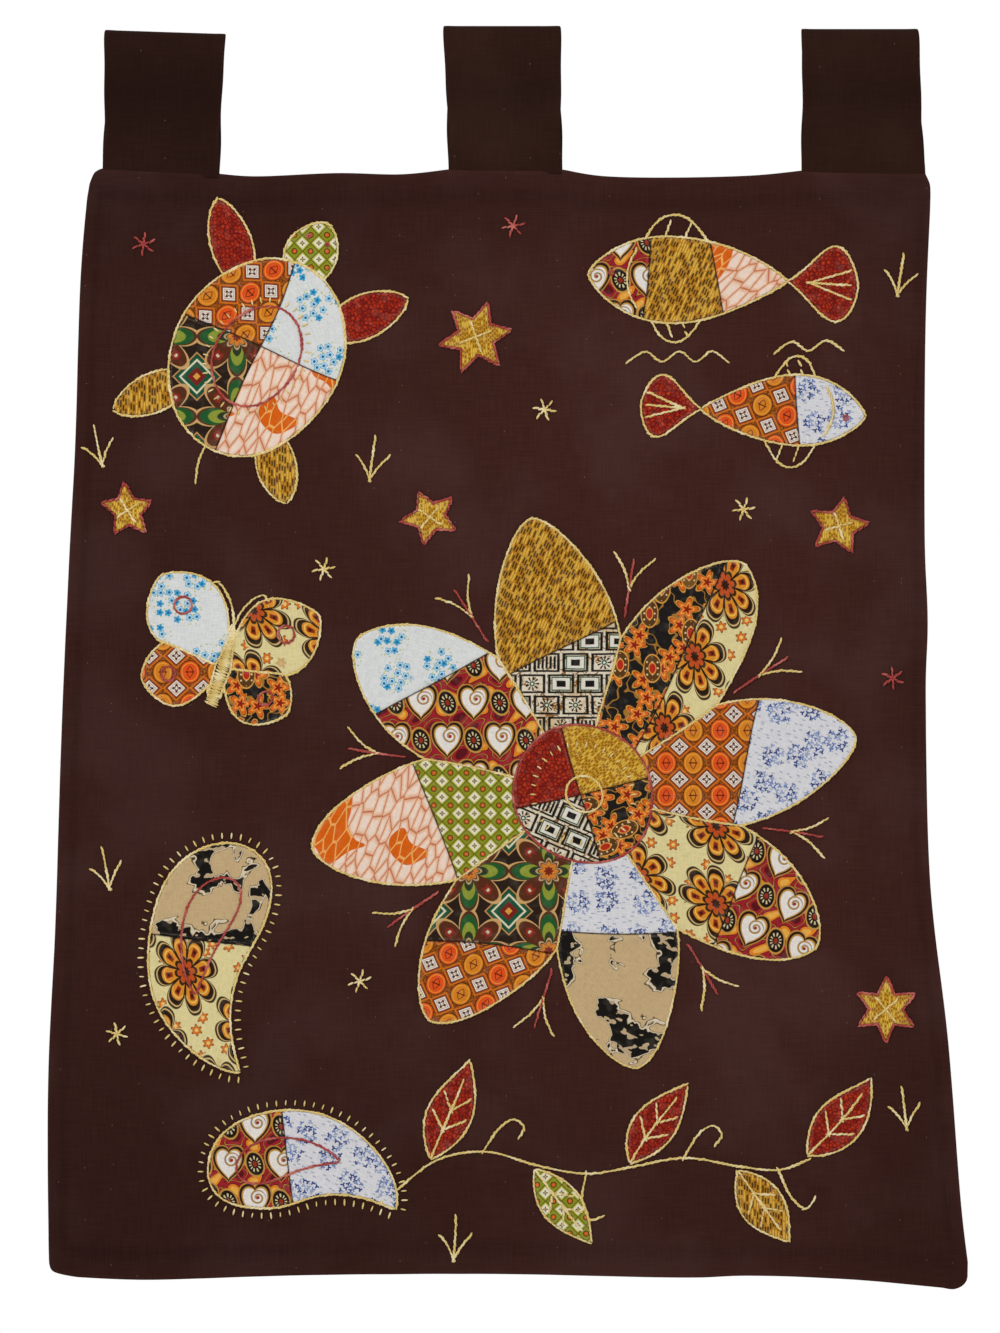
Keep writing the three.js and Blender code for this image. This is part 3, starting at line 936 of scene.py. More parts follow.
@dataclass(frozen=True)
class LotusPrint(Print):
    """Cream ground with large orange flowers that have dark outlines."""

    repeat: float = 62.0
    reach: float = 27.0
    petals: int = 8

    def pattern(self, g: Dye, u: Value, v: Value) -> Value:
        """Ringed petals round a dark eye, with small flowers between."""
        dark = "26170d"
        x, y = u.cell(self.repeat), (v + 0.35 * u).cell(self.repeat)
        side = g.spoke(x, y, self.petals)
        out = g.hypot(x, y) / (self.reach * (1.0 - 0.40 * side**2.6))
        small_x, small_y, own = g.scattered(u + 9.0, v + 4.0, 15.0, 0.5)
        small = g.flower(small_x, small_y, 5.0, 6, 0.2)
        free = out.rise(1.16, 1.2) * own.rise(0.40, 0.45)
        return g.layers(
            "e6d79c",
            (small.under(1.0, 0.08) * free, "6a3214"),
            (small.under(0.84, 0.08) * free, "dd7420"),
            (small.under(0.36, 0.08) * free, "f2d07a"),
            (out.under(1.12), "3a2614"),
            (out.near(1.03, 0.022, 0.012), "d8b878"),
            (out.under(0.96), dark),
            (out.under(0.86), "e0902a"),
            (out.near(0.78, 0.02, 0.012), "f6c45c"),
            (side.under(0.30, 0.05) * out.near(0.60, 0.12, 0.03), "8c2812"),
            (side.under(0.16, 0.04) * out.near(0.62, 0.04), dark),
            (side.rise(0.76, 0.84) * out.near(0.56, 0.30, 0.03), dark),
            (out.near(0.36, 0.05), "3a2410"),
            (out.under(0.31), "c4501f"),
            (out.under(0.14), "331a10"),
        )


@dataclass(frozen=True)
class ScrollPrint(Print):
    """Crimson ground with white curled hearts and dark seeds, all edged in gold."""

    wide: float = 42.0
    tall: float = 30.0
    heart: float = 10.5

    def pattern(self, g: Dye, u: Value, v: Value) -> Value:
        """Hearts in half-drop rows, a seed between two of them, and orange commas in the gaps."""
        gold, dark, black = "c89440", "2c1610", "3a140c"
        along_row = u + (v / self.tall).whole() * (self.wide / 2)
        b = v.cell(self.tall)
        x, y = along_row.cell(self.wide) / self.heart, b / self.heart
        heart = g.hypot(x, y + 0.25 - 0.72 * abs(x) ** 0.5)
        curl_x, curl_y = x - 0.22, y - 0.30
        reach = g.hypot(curl_x, curl_y)
        curl = (reach * 3.1 + g.math("ARCTAN2", curl_y, curl_x) / TURN).cell(1.0)
        a = (along_row + self.wide / 2).cell(self.wide)
        seed = g.hypot((a + 0.18 * b) / 6.4, b / 8.6)
        comma = ((u + 4.0 * (v / 5.2).sin()) / 5.0).sin() * ((v + 4.0 * (u / 6.0).sin()) / 4.6).sin()
        return g.layers(
            "a01e2a",
            (comma.near(-0.14, 0.10, 0.03), black),
            (comma.near(-0.14, 0.04, 0.03), "c88a3a"),
            (comma.near(0.42, 0.06, 0.03), black),
            (comma.rise(0.44, 0.50), "e68424"),
            (comma.rise(0.74, 0.80), "f0b04a"),
            (comma.under(-0.62, 0.03), "5e1018"),
            (heart.under(1.30, 0.03), "c08a3c"),
            (heart.under(1.20, 0.03), dark),
            (heart.under(1.02, 0.03), gold),
            (heart.under(0.91, 0.03), "ece6de"),
            (reach.under(0.60) * curl.near(0.0, 0.20, 0.04), dark),
            (reach.under(0.60) * curl.near(0.0, 0.12, 0.04), gold),
            (reach.under(0.12, 0.03), "a01f26"),
            (seed.under(1.22, 0.04), gold),
            (seed.under(1.04, 0.04), "1d100c"),
            (seed.near(0.58, 0.16, 0.04) * g.spoke(a, b, 11).under(0.42, 0.08), "dccb9c"),
            (seed.under(0.26, 0.05), "9a3018"),
        )


@dataclass(frozen=True)
class WheelPrint(Print):
    """Dark ground with eight-petalled wheels in green, maroon and black."""

    repeat: float = 64.0
    reach: float = 33.0

    def pattern(self, g: Dye, u: Value, v: Value) -> Value:
        """Green petals by turns with dark ones, all outlined in cream, and a tile between the wheels."""
        x, y = u.cell(self.repeat), v.cell(self.repeat)
        side = g.spoke(x, y, 8)
        out = g.hypot(x, y) / (self.reach * (1.0 - 0.42 * side**1.7))
        green = g.spoke(x, y, 4).under(0.5)
        maroon = 1.0 - green
        a, b = midway(u, v, self.repeat, self.repeat)
        tile = abs(a) + abs(b)
        return g.layers(
            "2a1b13",
            (tile.near(19.0, 0.8, 0.3), "c0925a"),
            (tile.under(17.5, 0.3), "12553a"),
            (tile.near(13.2, 1.1, 0.3), "e0d8b8"),
            (tile.under(7.6, 0.3), "7a211c"),
            (tile.under(3.0, 0.3), "e0a040"),
            (out.near(1.02, 0.045, 0.015), "d0a468"),
            (out.under(0.96), "5a2c18"),
            (out.under(0.90) * green, "1f5a2c"),
            (out.under(0.70) * green, "8f9a34"),
            (out.under(0.48) * green, "2c3a24"),
            (out.near(0.66, 0.10) * side.under(0.42, 0.05) * maroon, "8e2a1c"),
            (out.near(0.66, 0.03) * side.under(0.16, 0.04) * maroon, "d9cfae"),
            (out.near(0.30, 0.025, 0.012), "c4a577"),
            (out.under(0.24), "d9802c"),
            (out.under(0.12), "7a2414"),
        )


@dataclass(frozen=True)
class BarPrint(Print):
    """White ground with dark bars, rings, green tiles and ochre twigs."""

    wide: float = 23.0
    tall: float = 17.0

    def pattern(self, g: Dye, u: Value, v: Value) -> Value:
        """Frames of three kinds, with every other row set half a frame along."""
        ink, green, white = "171512", "14553a", "e6e0d2"
        row = (v / self.tall).whole()
        along_row = u + row * (self.wide / 2)
        x, y = along_row.cell(self.wide), v.cell(self.tall)
        kind = g.chance((along_row / self.wide).whole(), row)
        tiled = kind.rise(0.60, 0.62)
        barred = kind.under(0.36, 0.01)
        ringed = 1.0 - tiled.most(barred)
        rim = (abs(x) / (self.wide * 0.44)).most(abs(y) / (self.tall * 0.43))
        inner = (abs(x) / (self.wide * 0.22)).most(abs(y) / (self.tall * 0.20))
        ring = g.hypot(x, y)
        ray = g.spoke(x, y, 9).under(0.42, 0.1) * ring.near(4.0, 1.6, 0.2)
        return g.layers(
            "e6dac2",
            (g.noise(v, u, 24.0, 2.0).rise(0.56, 0.64) * 0.5, "c89c50"),
            (g.noise(u, v, 10.0, 3.0, 0.6).near(0.5, 0.024, 0.012), "8a5a1e"),
            (rim.near(0.93, 0.11, 0.04), ink),
            (abs(x.cell(3.2)).under(0.95, 0.2) * abs(y).under(5.0, 0.2) * barred, ink),
            (rim.under(0.76, 0.03) * tiled, green),
            (inner.under(1.35, 0.06) * tiled, white),
            (inner.under(0.72, 0.06) * tiled, ink),
            (ray * ringed, ink),
            (ring.under(2.1, 0.2) * ringed, green),
            (ring.under(1.0, 0.2) * ringed, white),
        )


@dataclass(frozen=True)
class BlotchPrint(Print):
    """Tan ground with black blotches that have holes and a fine line round them."""

    blot: float = 27.0

    def pattern(self, g: Dye, u: Value, v: Value) -> Value:
        """Lined edges round soft blots, with a few holes in them."""
        mass = g.noise(u, v, self.blot, 2.6, 0.35)
        dark = mass.rise(0.540, 0.550)
        hole = g.noise(u, v * 1.6, 9.0, 1.6)
        return g.layers(
            "ccaf82",
            (mass.near(0.515, 0.004, 0.004), "2c231a"),
            (mass.near(0.532, 0.008, 0.004), "ddd2ba"),
            (dark, "14110e"),
            (dark * hole.rise(0.60, 0.615), "c0a884"),
        )


@dataclass(frozen=True)
class VeinPrint(Print):
    """Peach ground with salmon veins round long cells, and a flood of orange."""

    cell_size: float = 10.0

    def pattern(self, g: Dye, u: Value, v: Value) -> Value:
        """Pale cells, and paler veins where the orange lies."""
        edge = g.voronoi(u * 1.5, v * 0.52, self.cell_size, 0.9)
        flood = g.noise(u, v, 52.0, 1.0, 0.3).rise(0.545, 0.555)
        return g.layers(
            "f2c6a6",
            (edge.rise(0.10, 0.26) * 0.85, "f8e2d2"),
            (edge.under(0.095, 0.03) * 0.6, "eeae8c"),
            (edge.under(0.040), "cc7a54"),
            (flood, "e0640c"),
            (flood * edge.under(0.06), "f6b060"),
        )


@dataclass(frozen=True)
class VinePrint(Print):
    """Black ground with orange flowers and brown seeds on a vine."""

    flower: float = 18.0
    seed: float = 33.0

    def pattern(self, g: Dye, u: Value, v: Value) -> Value:
        """Ringed flowers scattered on the black, with dotted seeds among them."""
        x, y, own = g.scattered(u, v, self.flower, 0.7)
        flower = g.flower(x, y, 11.0, 5, 0.28)
        grows = own.rise(0.05, 0.08)
        seed_x, seed_y, kind = g.scattered(u + 13.0, v + 7.0, self.seed, 0.6)
        seed = g.hypot(seed_x / 7.2, seed_y / 11.5)
        lies = kind.rise(0.34, 0.36)
        dots = g.hypot(seed_x.cell(4.2), seed_y.cell(4.8)).under(0.75, 0.2)
        stem = g.noise(u, v, 15.0, 1.0).near(0.5, 0.020, 0.008)
        return g.layers(
            "1b1817",
            (stem, "a8742c"),
            (flower.under(1.0, 0.06) * grows, "e0a040"),
            (flower.under(0.88, 0.05) * grows, "7a2410"),
            (flower.under(0.80, 0.05) * grows, "e26a1c"),
            (flower.near(0.50, 0.05, 0.03) * grows, "f0b450"),
            (flower.under(0.30, 0.06) * grows, "8a1f10"),
            (seed.under(1.0, 0.03) * lies, "e0a048"),
            (seed.under(0.90, 0.03) * lies, "5c3a18"),
            (seed.under(0.80, 0.03) * dots * lies, "e8cf9a"),
            (seed.near(0.38, 0.05, 0.03) * lies, "f0a04c"),
            (seed.under(0.34, 0.03) * lies, "b92c16"),
        )


@dataclass(frozen=True)
class FloretPrint(Print):
    """Pale ground with bunches of bright blue florets."""

    spacing: float = 6.9
    bunch: float = 34.0

    def pattern(self, g: Dye, u: Value, v: Value) -> Value:
        """Ringed florets gather in bunches with a few green specks."""
        x, y, own = g.scattered(u, v, self.spacing, 0.6)
        bunch = g.bunched(u - x, v - y, self.bunch, 12.0)
        floret = g.flower(x, y, 3.2, 5, 0.16)
        speck_x, speck_y, _ = g.scattered(v + 5.0, u + 2.0, 4.1, 0.9)
        speck = g.hypot(speck_x, speck_y).under(0.7, 0.2) * g.bunched(u, v, self.bunch, 14.0)
        return g.layers(
            "e2e4e3",
            (speck * 0.8, "b4c04a"),
            (floret.under(1.0, 0.1) * bunch, "3aa2d0"),
            (floret.near(0.62, 0.14, 0.06) * bunch * own.rise(0.3, 0.5), "cfeaf2"),
            (floret.under(0.32, 0.08) * bunch, "1c5a92"),
        )


@dataclass(frozen=True)
class GarnetPrint(Print):
    """Dark red ground, mottled, with fine darker veins."""

    vein: float = 3.2

    def pattern(self, g: Dye, u: Value, v: Value) -> Value:
        """Fine cracks over soft mottling."""
        crack = g.voronoi(u, v, self.vein, 1.0)
        return g.layers(
            "8f1c12",
            (g.noise(u, v, 5.0, 3.0).rise(0.42, 0.6) * 0.8, "ba3014"),
            (crack.under(0.09, 0.05) * 0.85, "3d0c0a"),
            (crack.rise(0.40, 0.50) * 0.6, "cc6634"),
        )


@dataclass(frozen=True)
class LimePrint(Print):
    """Lime ground with small white diamonds and brown lines."""

    repeat: float = 13.0

    def pattern(self, g: Dye, u: Value, v: Value) -> Value:
        """Diamonds and dots on a half-step lattice."""
        half = 0.44 * self.repeat
        x, y = u.cell(self.repeat), v.cell(self.repeat)
        diamond = abs(x) / half + abs(y) / half
        dot = g.hypot(*midway(u, v, self.repeat, self.repeat))
        flower = g.flower(x, y, 2.1, 4, 0.3)
        return g.layers(
            "8d9422",
            (diamond.near(1.16, 0.06, 0.04), "553312"),
            (diamond.under(0.98, 0.05), "bfc04c"),
            (diamond.under(0.80, 0.05), "ece6cc"),
            (flower.under(1.0, 0.12), "6a3414"),
            (flower.under(0.40, 0.10), "c8cc6a"),
            (dot.under(2.4, 0.25), "4c2612"),
            (dot.under(1.6, 0.2), "d96a24"),
        )


@dataclass(frozen=True)
class GroundFinish:
    """Heavy dark cotton with visible threads, soft fading and a little lint."""

    base: str
    faded: str
    slub: float = 0.13
    thread: float = 0.85

    def shadow(self, u: Value, v: Value, edge: Value) -> Value:
        """How much painted shade the cloth gets in each place, less a painted highlight along its edge."""
        # Painted shade down the left side, at the right, below the tabs, at the foot, and along the hem's
        # fold line.
        left = 0.22 * (1.0 - u.rise(-360, 140))
        right = 0.12 * u.rise(230, 330)
        below_tabs = 0.20 * v.rise(-250, -112)
        foot = 0.20 * (1.0 - v.rise(-1000, -690))
        hem = 0.10 * edge.near(15.0, 4.0, 4.0)
        # The subtracted term is a painted highlight along the outermost edge.
        return left + right + below_tabs + foot + hem - 0.10 * edge.under(2.5, 2.5)

    def material(self, name: str) -> Material:
        """Streaks along both thread directions over broad mottling, with the painted shade and highlight of
        shadow().
        """
        g = Dye(name)
        u, v = g.place()
        weave = g.weave(u, v, self.thread)
        streaks = g.slubs(u, v, 22.0, 1.1, 2.0)
        crumple = g.noise(u, v, 19.0, 4.0)
        lint_x, lint_y, own = g.scattered(u, v, 21.0, 1.0)
        lint = g.hypot(lint_x * 1.8, lint_y).under(0.5, 0.2) * own.rise(0.84, 0.86)
        shade = g.mix(self.base, self.faded, g.noise(u, v, 120.0, 4.0).rise(0.42, 0.68))
        shade = g.mix(shade, "7a5848", (self.slub * (streaks - 0.92) + 0.03 * weave).most(0.0))
        # Painted shade from shadow(), plus darkening of the thin threads in the streaks, mixed toward near
        # black.
        dark = self.shadow(u, v, g.edge()) + (2.0 * self.slub * (0.98 - streaks)).most(0.0)
        shade = g.layers(shade, (dark.most(0.0), "030101"), (lint * 0.4, "a08c80"))
        height = 0.06 * weave + 0.08 * streaks + 1.0 * crumple
        return g.finish(shade, height, 0.86 + 0.1 * crumple, gloss=0.10, sheen=0.02, tint="c08068")


@dataclass(frozen=True)
class TabFinish(GroundFinish):
    """The ground's cotton, doubled, with painted shade that is darkest where it leaves the bend."""

    def shadow(self, u: Value, v: Value, edge: Value) -> Value:
        """Painted shade down the front below the bend and on the left tab, and a painted highlight at the
        folded sides.
        """
        below_bend = 0.26 * v.near(66.0, 14.0, 30.0)
        left_tab = 0.16 * u.under(-200.0, 20.0)
        # The subtracted term is a painted highlight along the folded sides of the front leg and the bend.
        return below_bend + left_tab - 0.15 * edge.under(2.0, 2.0) * v.under(200.0, 1.0)


@dataclass(frozen=True)
class ThreadFinish:
    """Thick twisted embroidery cotton with a soft lustre."""

    base: str
    shadow: str
    light: str
    strands: float = 2.0
    turns: float = 3.0

    def material(self, name: str) -> Material:
        """Strands wind round each stitch."""
        g = Dye(name)
        around, lengthwise = g.place(TWIST_MAP)
        strand = (around * (TURN * self.strands) + lengthwise * (TURN * self.turns)).sin()
        drift = g.drift(90.0)
        shade = g.mix(self.base, self.shadow, 0.40 - 0.40 * strand)
        shade = g.mix(shade, self.light, drift.rise(0.45, 0.7) * 0.6)
        return g.finish(shade, 0.11 * strand, 0.55 + 0.15 * drift, gloss=0.3, sheen=0.15, tint="fff0d8")


FINISHES: dict[Cloth | Thread, Print | GroundFinish | ThreadFinish] = {
    Cloth.GROUND: GroundFinish("3e201b", "452925"),
    Cloth.TAB: TabFinish("2a150f", "301b14", slub=0.08),
    Cloth.DIAMONDS: DiamondPrint(),
    Cloth.SPRIGS: SprigPrint(),
    Cloth.OCHRE: StrawPrint(),
    Cloth.LOTUS: LotusPrint(),
    Cloth.SCROLLS: ScrollPrint(),
    Cloth.WHEEL: WheelPrint(),
    Cloth.SCRIPT: BarPrint(),
    Cloth.BLOTCH: BlotchPrint(),
    Cloth.VEINS: VeinPrint(),
    Cloth.VINE: VinePrint(),
    Cloth.FLORET: FloretPrint(),
    Cloth.GARNET: GarnetPrint(),
    Cloth.LIME: LimePrint(),
    Cloth.HONEY: StrawPrint(ground="cf9c26", dash="8a4f12", glow="e8c04c", column=1.7, length=3.6),
    Thread.YELLOW: ThreadFinish("f2d98a", "be9648", "fcf2cc"),
    Thread.RED: ThreadFinish("bd463e", "6e2024", "de8578"),
    Thread.BROWN: ThreadFinish("3c2219", "1c0e0a", "54382e"),
}


class Wardrobe:
    """Makes each material once."""

    def __init__(self) -> None:
        """Starts with none made."""
        self._made: dict[Cloth | Thread, Material] = {}

    def __getitem__(self, key: Cloth | Thread) -> Material:
        """The material of a cotton or a thread."""
        if key not in self._made:
            self._made[key] = FINISHES[key].material(f"{type(key).__name__.lower()}_{key.value}")
        return self._made[key]


# Stitching


@dataclass(frozen=True)
class StitchLine:
    """A line of stitches in the plane of the cloth. Its lift is how far it lies in front of the ground."""

    points: Array
    thread: Thread = Thread.YELLOW
    stitch: Stitch = Stitch.STEM
    closed: bool = False
    lift: float = ON_GROUND


def free_line(*points: Any, thread: Thread = Thread.YELLOW, lift: float = ON_GROUND) -> StitchLine:
    """A smooth open line of stem stitches through a few points."""
    return StitchLine(hand_cut(spline(points)), thread, lift=lift)


def edge_lines(
    ruled: Array,
    thread: Thread = Thread.YELLOW,
    out: float = 0.6,
    stitch: Stitch = Stitch.STEM,
    lift: float = ON_EDGE,
) -> list[StitchLine]:
    """Lines of stitches along a closed outline, broken at its sharp corners.

    Args:
        ruled: The ruled outline.
        thread: The thread.
        out: How far outside the cut edge they lie.
        stitch: The stitch.
        lift: How far they lie in front of the ground's face.

    Returns:
        One closed line, or an open one between each corner and the next.
    """
    ring = even(hand_cut(spaced(ruled, LINE_STEP)), LINE_STEP)
    bend = np.abs(np.angle((np.roll(ring, -2) - ring) / (ring - np.roll(ring, 2)), deg=True))
    sharpest = (bend >= np.roll(bend, 1)) & (bend > np.roll(bend, -1))
    corners = np.flatnonzero((bend > SHARP) & sharpest)
    if len(corners) == 0:
        return [StitchLine(outward(ring, out), thread, stitch, True, lift)]
    lines = []
    for start, end in zip(corners, np.append(corners[1:], corners[0] + len(ring))):
        part = ring[np.arange(start, end + 1) % len(ring)]
        if len(part) > 3:
            run = np.gradient(part)
            moved = (part - 1j * out * run / np.abs(run))[1:-1]
            lines.append(StitchLine(moved, thread, stitch, False, lift))
    return lines


class StitchTree(Tree):
    """A Geometry Nodes tree that lays stitches along curves."""

    SIZES = ("Pitch", "Length", "Width", "Height", "Slant")
    COUNTS = ("Sides", "Rings", "Seed")
    SCALES = (0.82, 1.16)
    LEAN = 0.12
    BEHIND = 0.3

    def __init__(self) -> None:
        """Builds the tree: one grain, laid along the line at each pitch and turned by the slant."""
        super().__init__(bpy.data.node_groups.new("stitches", "GeometryNodeTree"))
        kinds = {"Line": "Geometry", "Normal": "Vector", "Thread": "Material"}
        kinds |= {name: "Float" for name in self.SIZES} | {name: "Int" for name in self.COUNTS}
        for name, kind in kinds.items():
            self.tree.interface.new_socket(name, in_out="INPUT", socket_type=f"NodeSocket{kind}")
        self.tree.interface.new_socket("Stitches", in_out="OUTPUT", socket_type="NodeSocketGeometry")
        given = self.add("NodeGroupInput").other
        line = {"Curve": given("Line"), "Length": given("Pitch")}
        copies = {
            "Points": self.add("GeometryNodeResampleCurve", {"mode": "LENGTH"}, line),
            "Instance": self._grain(given),
            "Rotation": self._turned(given),
            "Scale": self._chance(given, *self.SCALES),
        }
        laid = self.add("GeometryNodeInstanceOnPoints", None, copies)
        real = self.add("GeometryNodeRealizeInstances", None, {0: laid})
        smooth = self.add("GeometryNodeSetShadeSmooth", None, {0: real})
        dyed = self.add("GeometryNodeSetMaterial", None, {"Geometry": smooth, "Material": given("Thread")})
        self.add("NodeGroupOutput", None, {0: dyed})

    def _chance(self, given: Any, low: float, high: float) -> Value:
        """A random value for each stitch."""
        inputs = {2: low, 3: high, "Seed": given("Seed")}
        return self.add("FunctionNodeRandomValue", {"data_type": "FLOAT"}, inputs, 1)

    def _grain(self, given: Any) -> Value:
        """One stitch along +x, with a map that winds round it."""
        counts = {"Segments": given("Sides"), "Rings": given("Rings"), "Radius": 0.5}
        ball = self.add("GeometryNodeMeshUVSphere", None, counts)
        mapped = {"Geometry": ball, "Name": TWIST_MAP, "Value": ball.other("UV Map")}
        kind = {"data_type": "FLOAT2", "domain": "CORNER"}
        stored = self.add("GeometryNodeStoreNamedAttribute", kind, mapped)
        size = self.point(given("Height"), given("Width"), given("Length"))
        laid = {0: stored, "Rotation": (0, math.pi / 2, 0), "Scale": size}
        return self.add("GeometryNodeTransform", None, laid)

    def _turned(self, given: Any) -> Value:
        """The turn that lays a stitch along the line, flat on the cloth and slanted."""
        axes = {"primary_axis": "X", "secondary_axis": "Z"}
        along_line = {0: self.add("GeometryNodeInputTangent"), 1: given("Normal")}
        follow = self.add("FunctionNodeAxesToRotation", axes, along_line)
        slant = self.point(0.0, 0.0, given("Slant") + self._chance(given, -self.LEAN, self.LEAN))
        lean = self.add("FunctionNodeEulerToRotation", None, {0: slant})
        return self.add("FunctionNodeRotateRotation", {"rotation_space": "LOCAL"}, {0: follow, 1: lean})

    def sew(
        self, name: str, lines: Sequence[StitchLine], stitch: Stitch, thread: Material
    ) -> Piece:
        """Sews lines and turns them into one plain mesh.

        Args:
            name: The piece's name.
            lines: The lines that it follows.
            stitch: The stitch. Two kinds lie on the reverse side.
            thread: The thread's material.

        Returns:
            The new piece.
        """
        reverse = stitch in (Stitch.REVERSE, Stitch.SLIP)
        data = bpy.data.curves.new(name, "CURVE")
        data.dimensions = "3D"
        for line in lines:
            y = HUNG.back(line.points) + self.BEHIND if reverse else HUNG.front(line.points) - line.lift
            rows = np.column_stack((to_space(line.points, y), np.ones(len(y))))
            path = data.splines.new("POLY")
            path.points.add(len(y) - 1)
            path.points.foreach_set("co", rows.ravel())
            path.use_cyclic_u = line.closed
        holder = placed(f"{name}_line", data)
        facing_out = (0.0, 1.0 if reverse else -1.0, 0.0)
        values = stitch.value.inputs() | {"Seed": len(name), "Thread": thread, "Normal": facing_out}
        modifier = holder.modifiers.new("stitches", "NODES")
        modifier.node_group = self.tree
        for item in self.tree.interface.items_tree:
            if item.name in values:
                modifier[item.identifier] = values[item.name]
        evaluated = holder.evaluated_get(bpy.context.evaluated_depsgraph_get())
        solid = bpy.data.meshes.new_from_object(evaluated)
        solid.update()
        bpy.data.objects.remove(holder)
        return placed(name, solid)


# Patches and motifs


@dataclass(frozen=True)
class Patch:
    """A piece of printed cotton, cut, turned under at its edge and sewn down. Sizes are in millimetres."""

    name: str
    ruled: Array
    cloth: Cloth
    grain: float = 0.0
    edge_step: float = 2.4
    least_side: float = 0.25
    grid: float = 3.9
    back_grid: float = 8.0
    rings: tuple[float, ...] = (0.35, 1.1, 2.6, 4.6, 6.4)
    base_lift: float = 0.95
    roll_width: float = 1.1
    ridge: float = 0.5
    ridge_at: float = 3.0
    ridge_spread: float = 2.6
    pucker: float = 0.38
    pucker_at: float = 2.6
    pucker_spread: float = 2.2
    foot: float = 0.1

    def lift(self, depth: Array, nearest: Array, points: Array) -> Array:
        """How far the patch stands in front of the ground.

        Args:
            depth: How deep each point lies inside the edge.
            nearest: The number of the edge's nearest side.
            points: The points.

        Returns:
            The height of a rolled edge, the ridge of its turning, and puckers between the stitches.
        """
        depth = np.maximum(depth, 0.0)
        turning = self.ridge * bell(depth, self.ridge_at, self.ridge_spread)
        puckers = self.pucker * np.sin(nearest * 0.9) * bell(depth, self.pucker_at, self.pucker_spread)
        soft = 0.14 * np.sin(points.real / 6.1 + points.imag / 9.0) * np.sin(points.imag / 5.3)
        full = self.base_lift + turning + puckers + soft * smoothstep(2, 8, depth)
        return self.foot + rounded(depth, self.roll_width) * full

    def _fill(self, edge: Array, inner: Array) -> tuple[Array, list[list[int]], dict[int, int]]:
        """Triangulates the inside of an edge, with some points inside it."""
        flat = [Vector((p.real, p.imag)) for p in np.append(edge, inner)]
        verts, _, faces, origins, _, _ = delaunay_2d_cdt(flat, [], [list(range(len(edge)))], 1, 1e-5)
        where = {k: i for i, old in enumerate(origins) for k in old if k < len(edge)}
        return np.array([complex(v.x, v.y) for v in verts]), [list(f) for f in faces], where

    def _lattice(self, edge: Array, step: float, margin: float) -> Array:
        """Evenly spread points that lie well inside an edge."""
        columns = np.arange(edge.real.min(), edge.real.max(), step)
        rows = np.arange(edge.imag.min(), edge.imag.max(), step * 0.87)
        grid = [c + (step / 2 if i % 2 else 0) + 1j * r for i, r in enumerate(rows) for c in columns]
        return np.array(grid)[edge_depth(np.array(grid), edge)[0] > margin]

    def _skin(self, edge: Array) -> Piece:
        """Builds the closed skin inside an edge: a full face, and a plain back that shares its rim."""
        rings = [(outward(edge, -deep), deep) for deep in self.rings]
        kept = [ring[edge_depth(ring, edge)[0] > 0.93 * deep] for ring, deep in rings]
        inner = np.concatenate(kept + [self._lattice(edge, self.grid, self.rings[-1] + 1.6)])
        front, front_faces, front_at = self._fill(edge, inner)
        back, back_faces, back_at = self._fill(edge, self._lattice(edge, self.back_grid, 2.0))
        shared = {back_at[k]: i for k, i in front_at.items() if k in back_at}
        fresh = [i for i in range(len(back)) if i not in shared]
        index = shared | {old: len(front) + new for new, old in enumerate(fresh)}
        faces = front_faces + [[index[i] for i in reversed(face)] for face in back_faces]
        depth, nearest = edge_depth(front, edge)
        lift = self.lift(depth, nearest, front)
        lift[list(front_at.values())] = self.foot
        points = np.append(front, back[fresh])
        y = HUNG.front(points) - np.append(lift, np.full(len(fresh), self.foot / 2))
        seat = sum(ord(letter) for letter in self.name)
        uv = (points - edge.mean()) * facing(self.grain) + complex(seat * 7 % 90, seat * 13 % 90)
        deep = np.append(np.maximum(depth, 0.0), np.full(len(fresh), 9.0))
        return skin(f"{self.name}_sewn", to_space(points, y), faces, uv, deep)

    def make(self, wardrobe: Wardrobe) -> None:
        edge = hand_cut(spaced(self.ruled, self.edge_step))
        edge = edge[np.abs(edge - np.roll(edge, 1)) > self.least_side]
        piece = self._skin(edge)
        piece.data.materials.append(wardrobe[self.cloth])
        enter(piece, self.name)


def cut(
    name: str,
    shape: Shape,
    seams: Sequence[Seam],
    cloths: Sequence[Cloth],
    outline: Array | None = None,
) -> list[Patch]:
    """Cuts a shape at its seams.

    Args:
        name: The motif's name.
        shape: The shape that is cut.
        seams: The seams, in the order that they are sewn.
        cloths: A cotton for each part.
        outline: The outline to cut, where it isn't the shape's own.

    Returns:
        A patch for each part, each with its cotton turned further than the last.
    """
    parts = [shape.outline() if outline is None else outline]
    for seam in seams:
        at, heading = shape.axis(seam.at)
        halves = [split(part, at, heading * facing(seam.tilt)) for part in parts]
        parts = [half for pair in halves for half in pair if len(half) > 2]
    names = [name] if len(parts) == 1 else [f"{name}_{i + 1}" for i in range(len(parts))]
    trios = zip(names, parts, cloths)
    return [Patch(part_name, part, cloth, GRAIN_STEP * i) for i, (part_name, part, cloth) in enumerate(trios)]


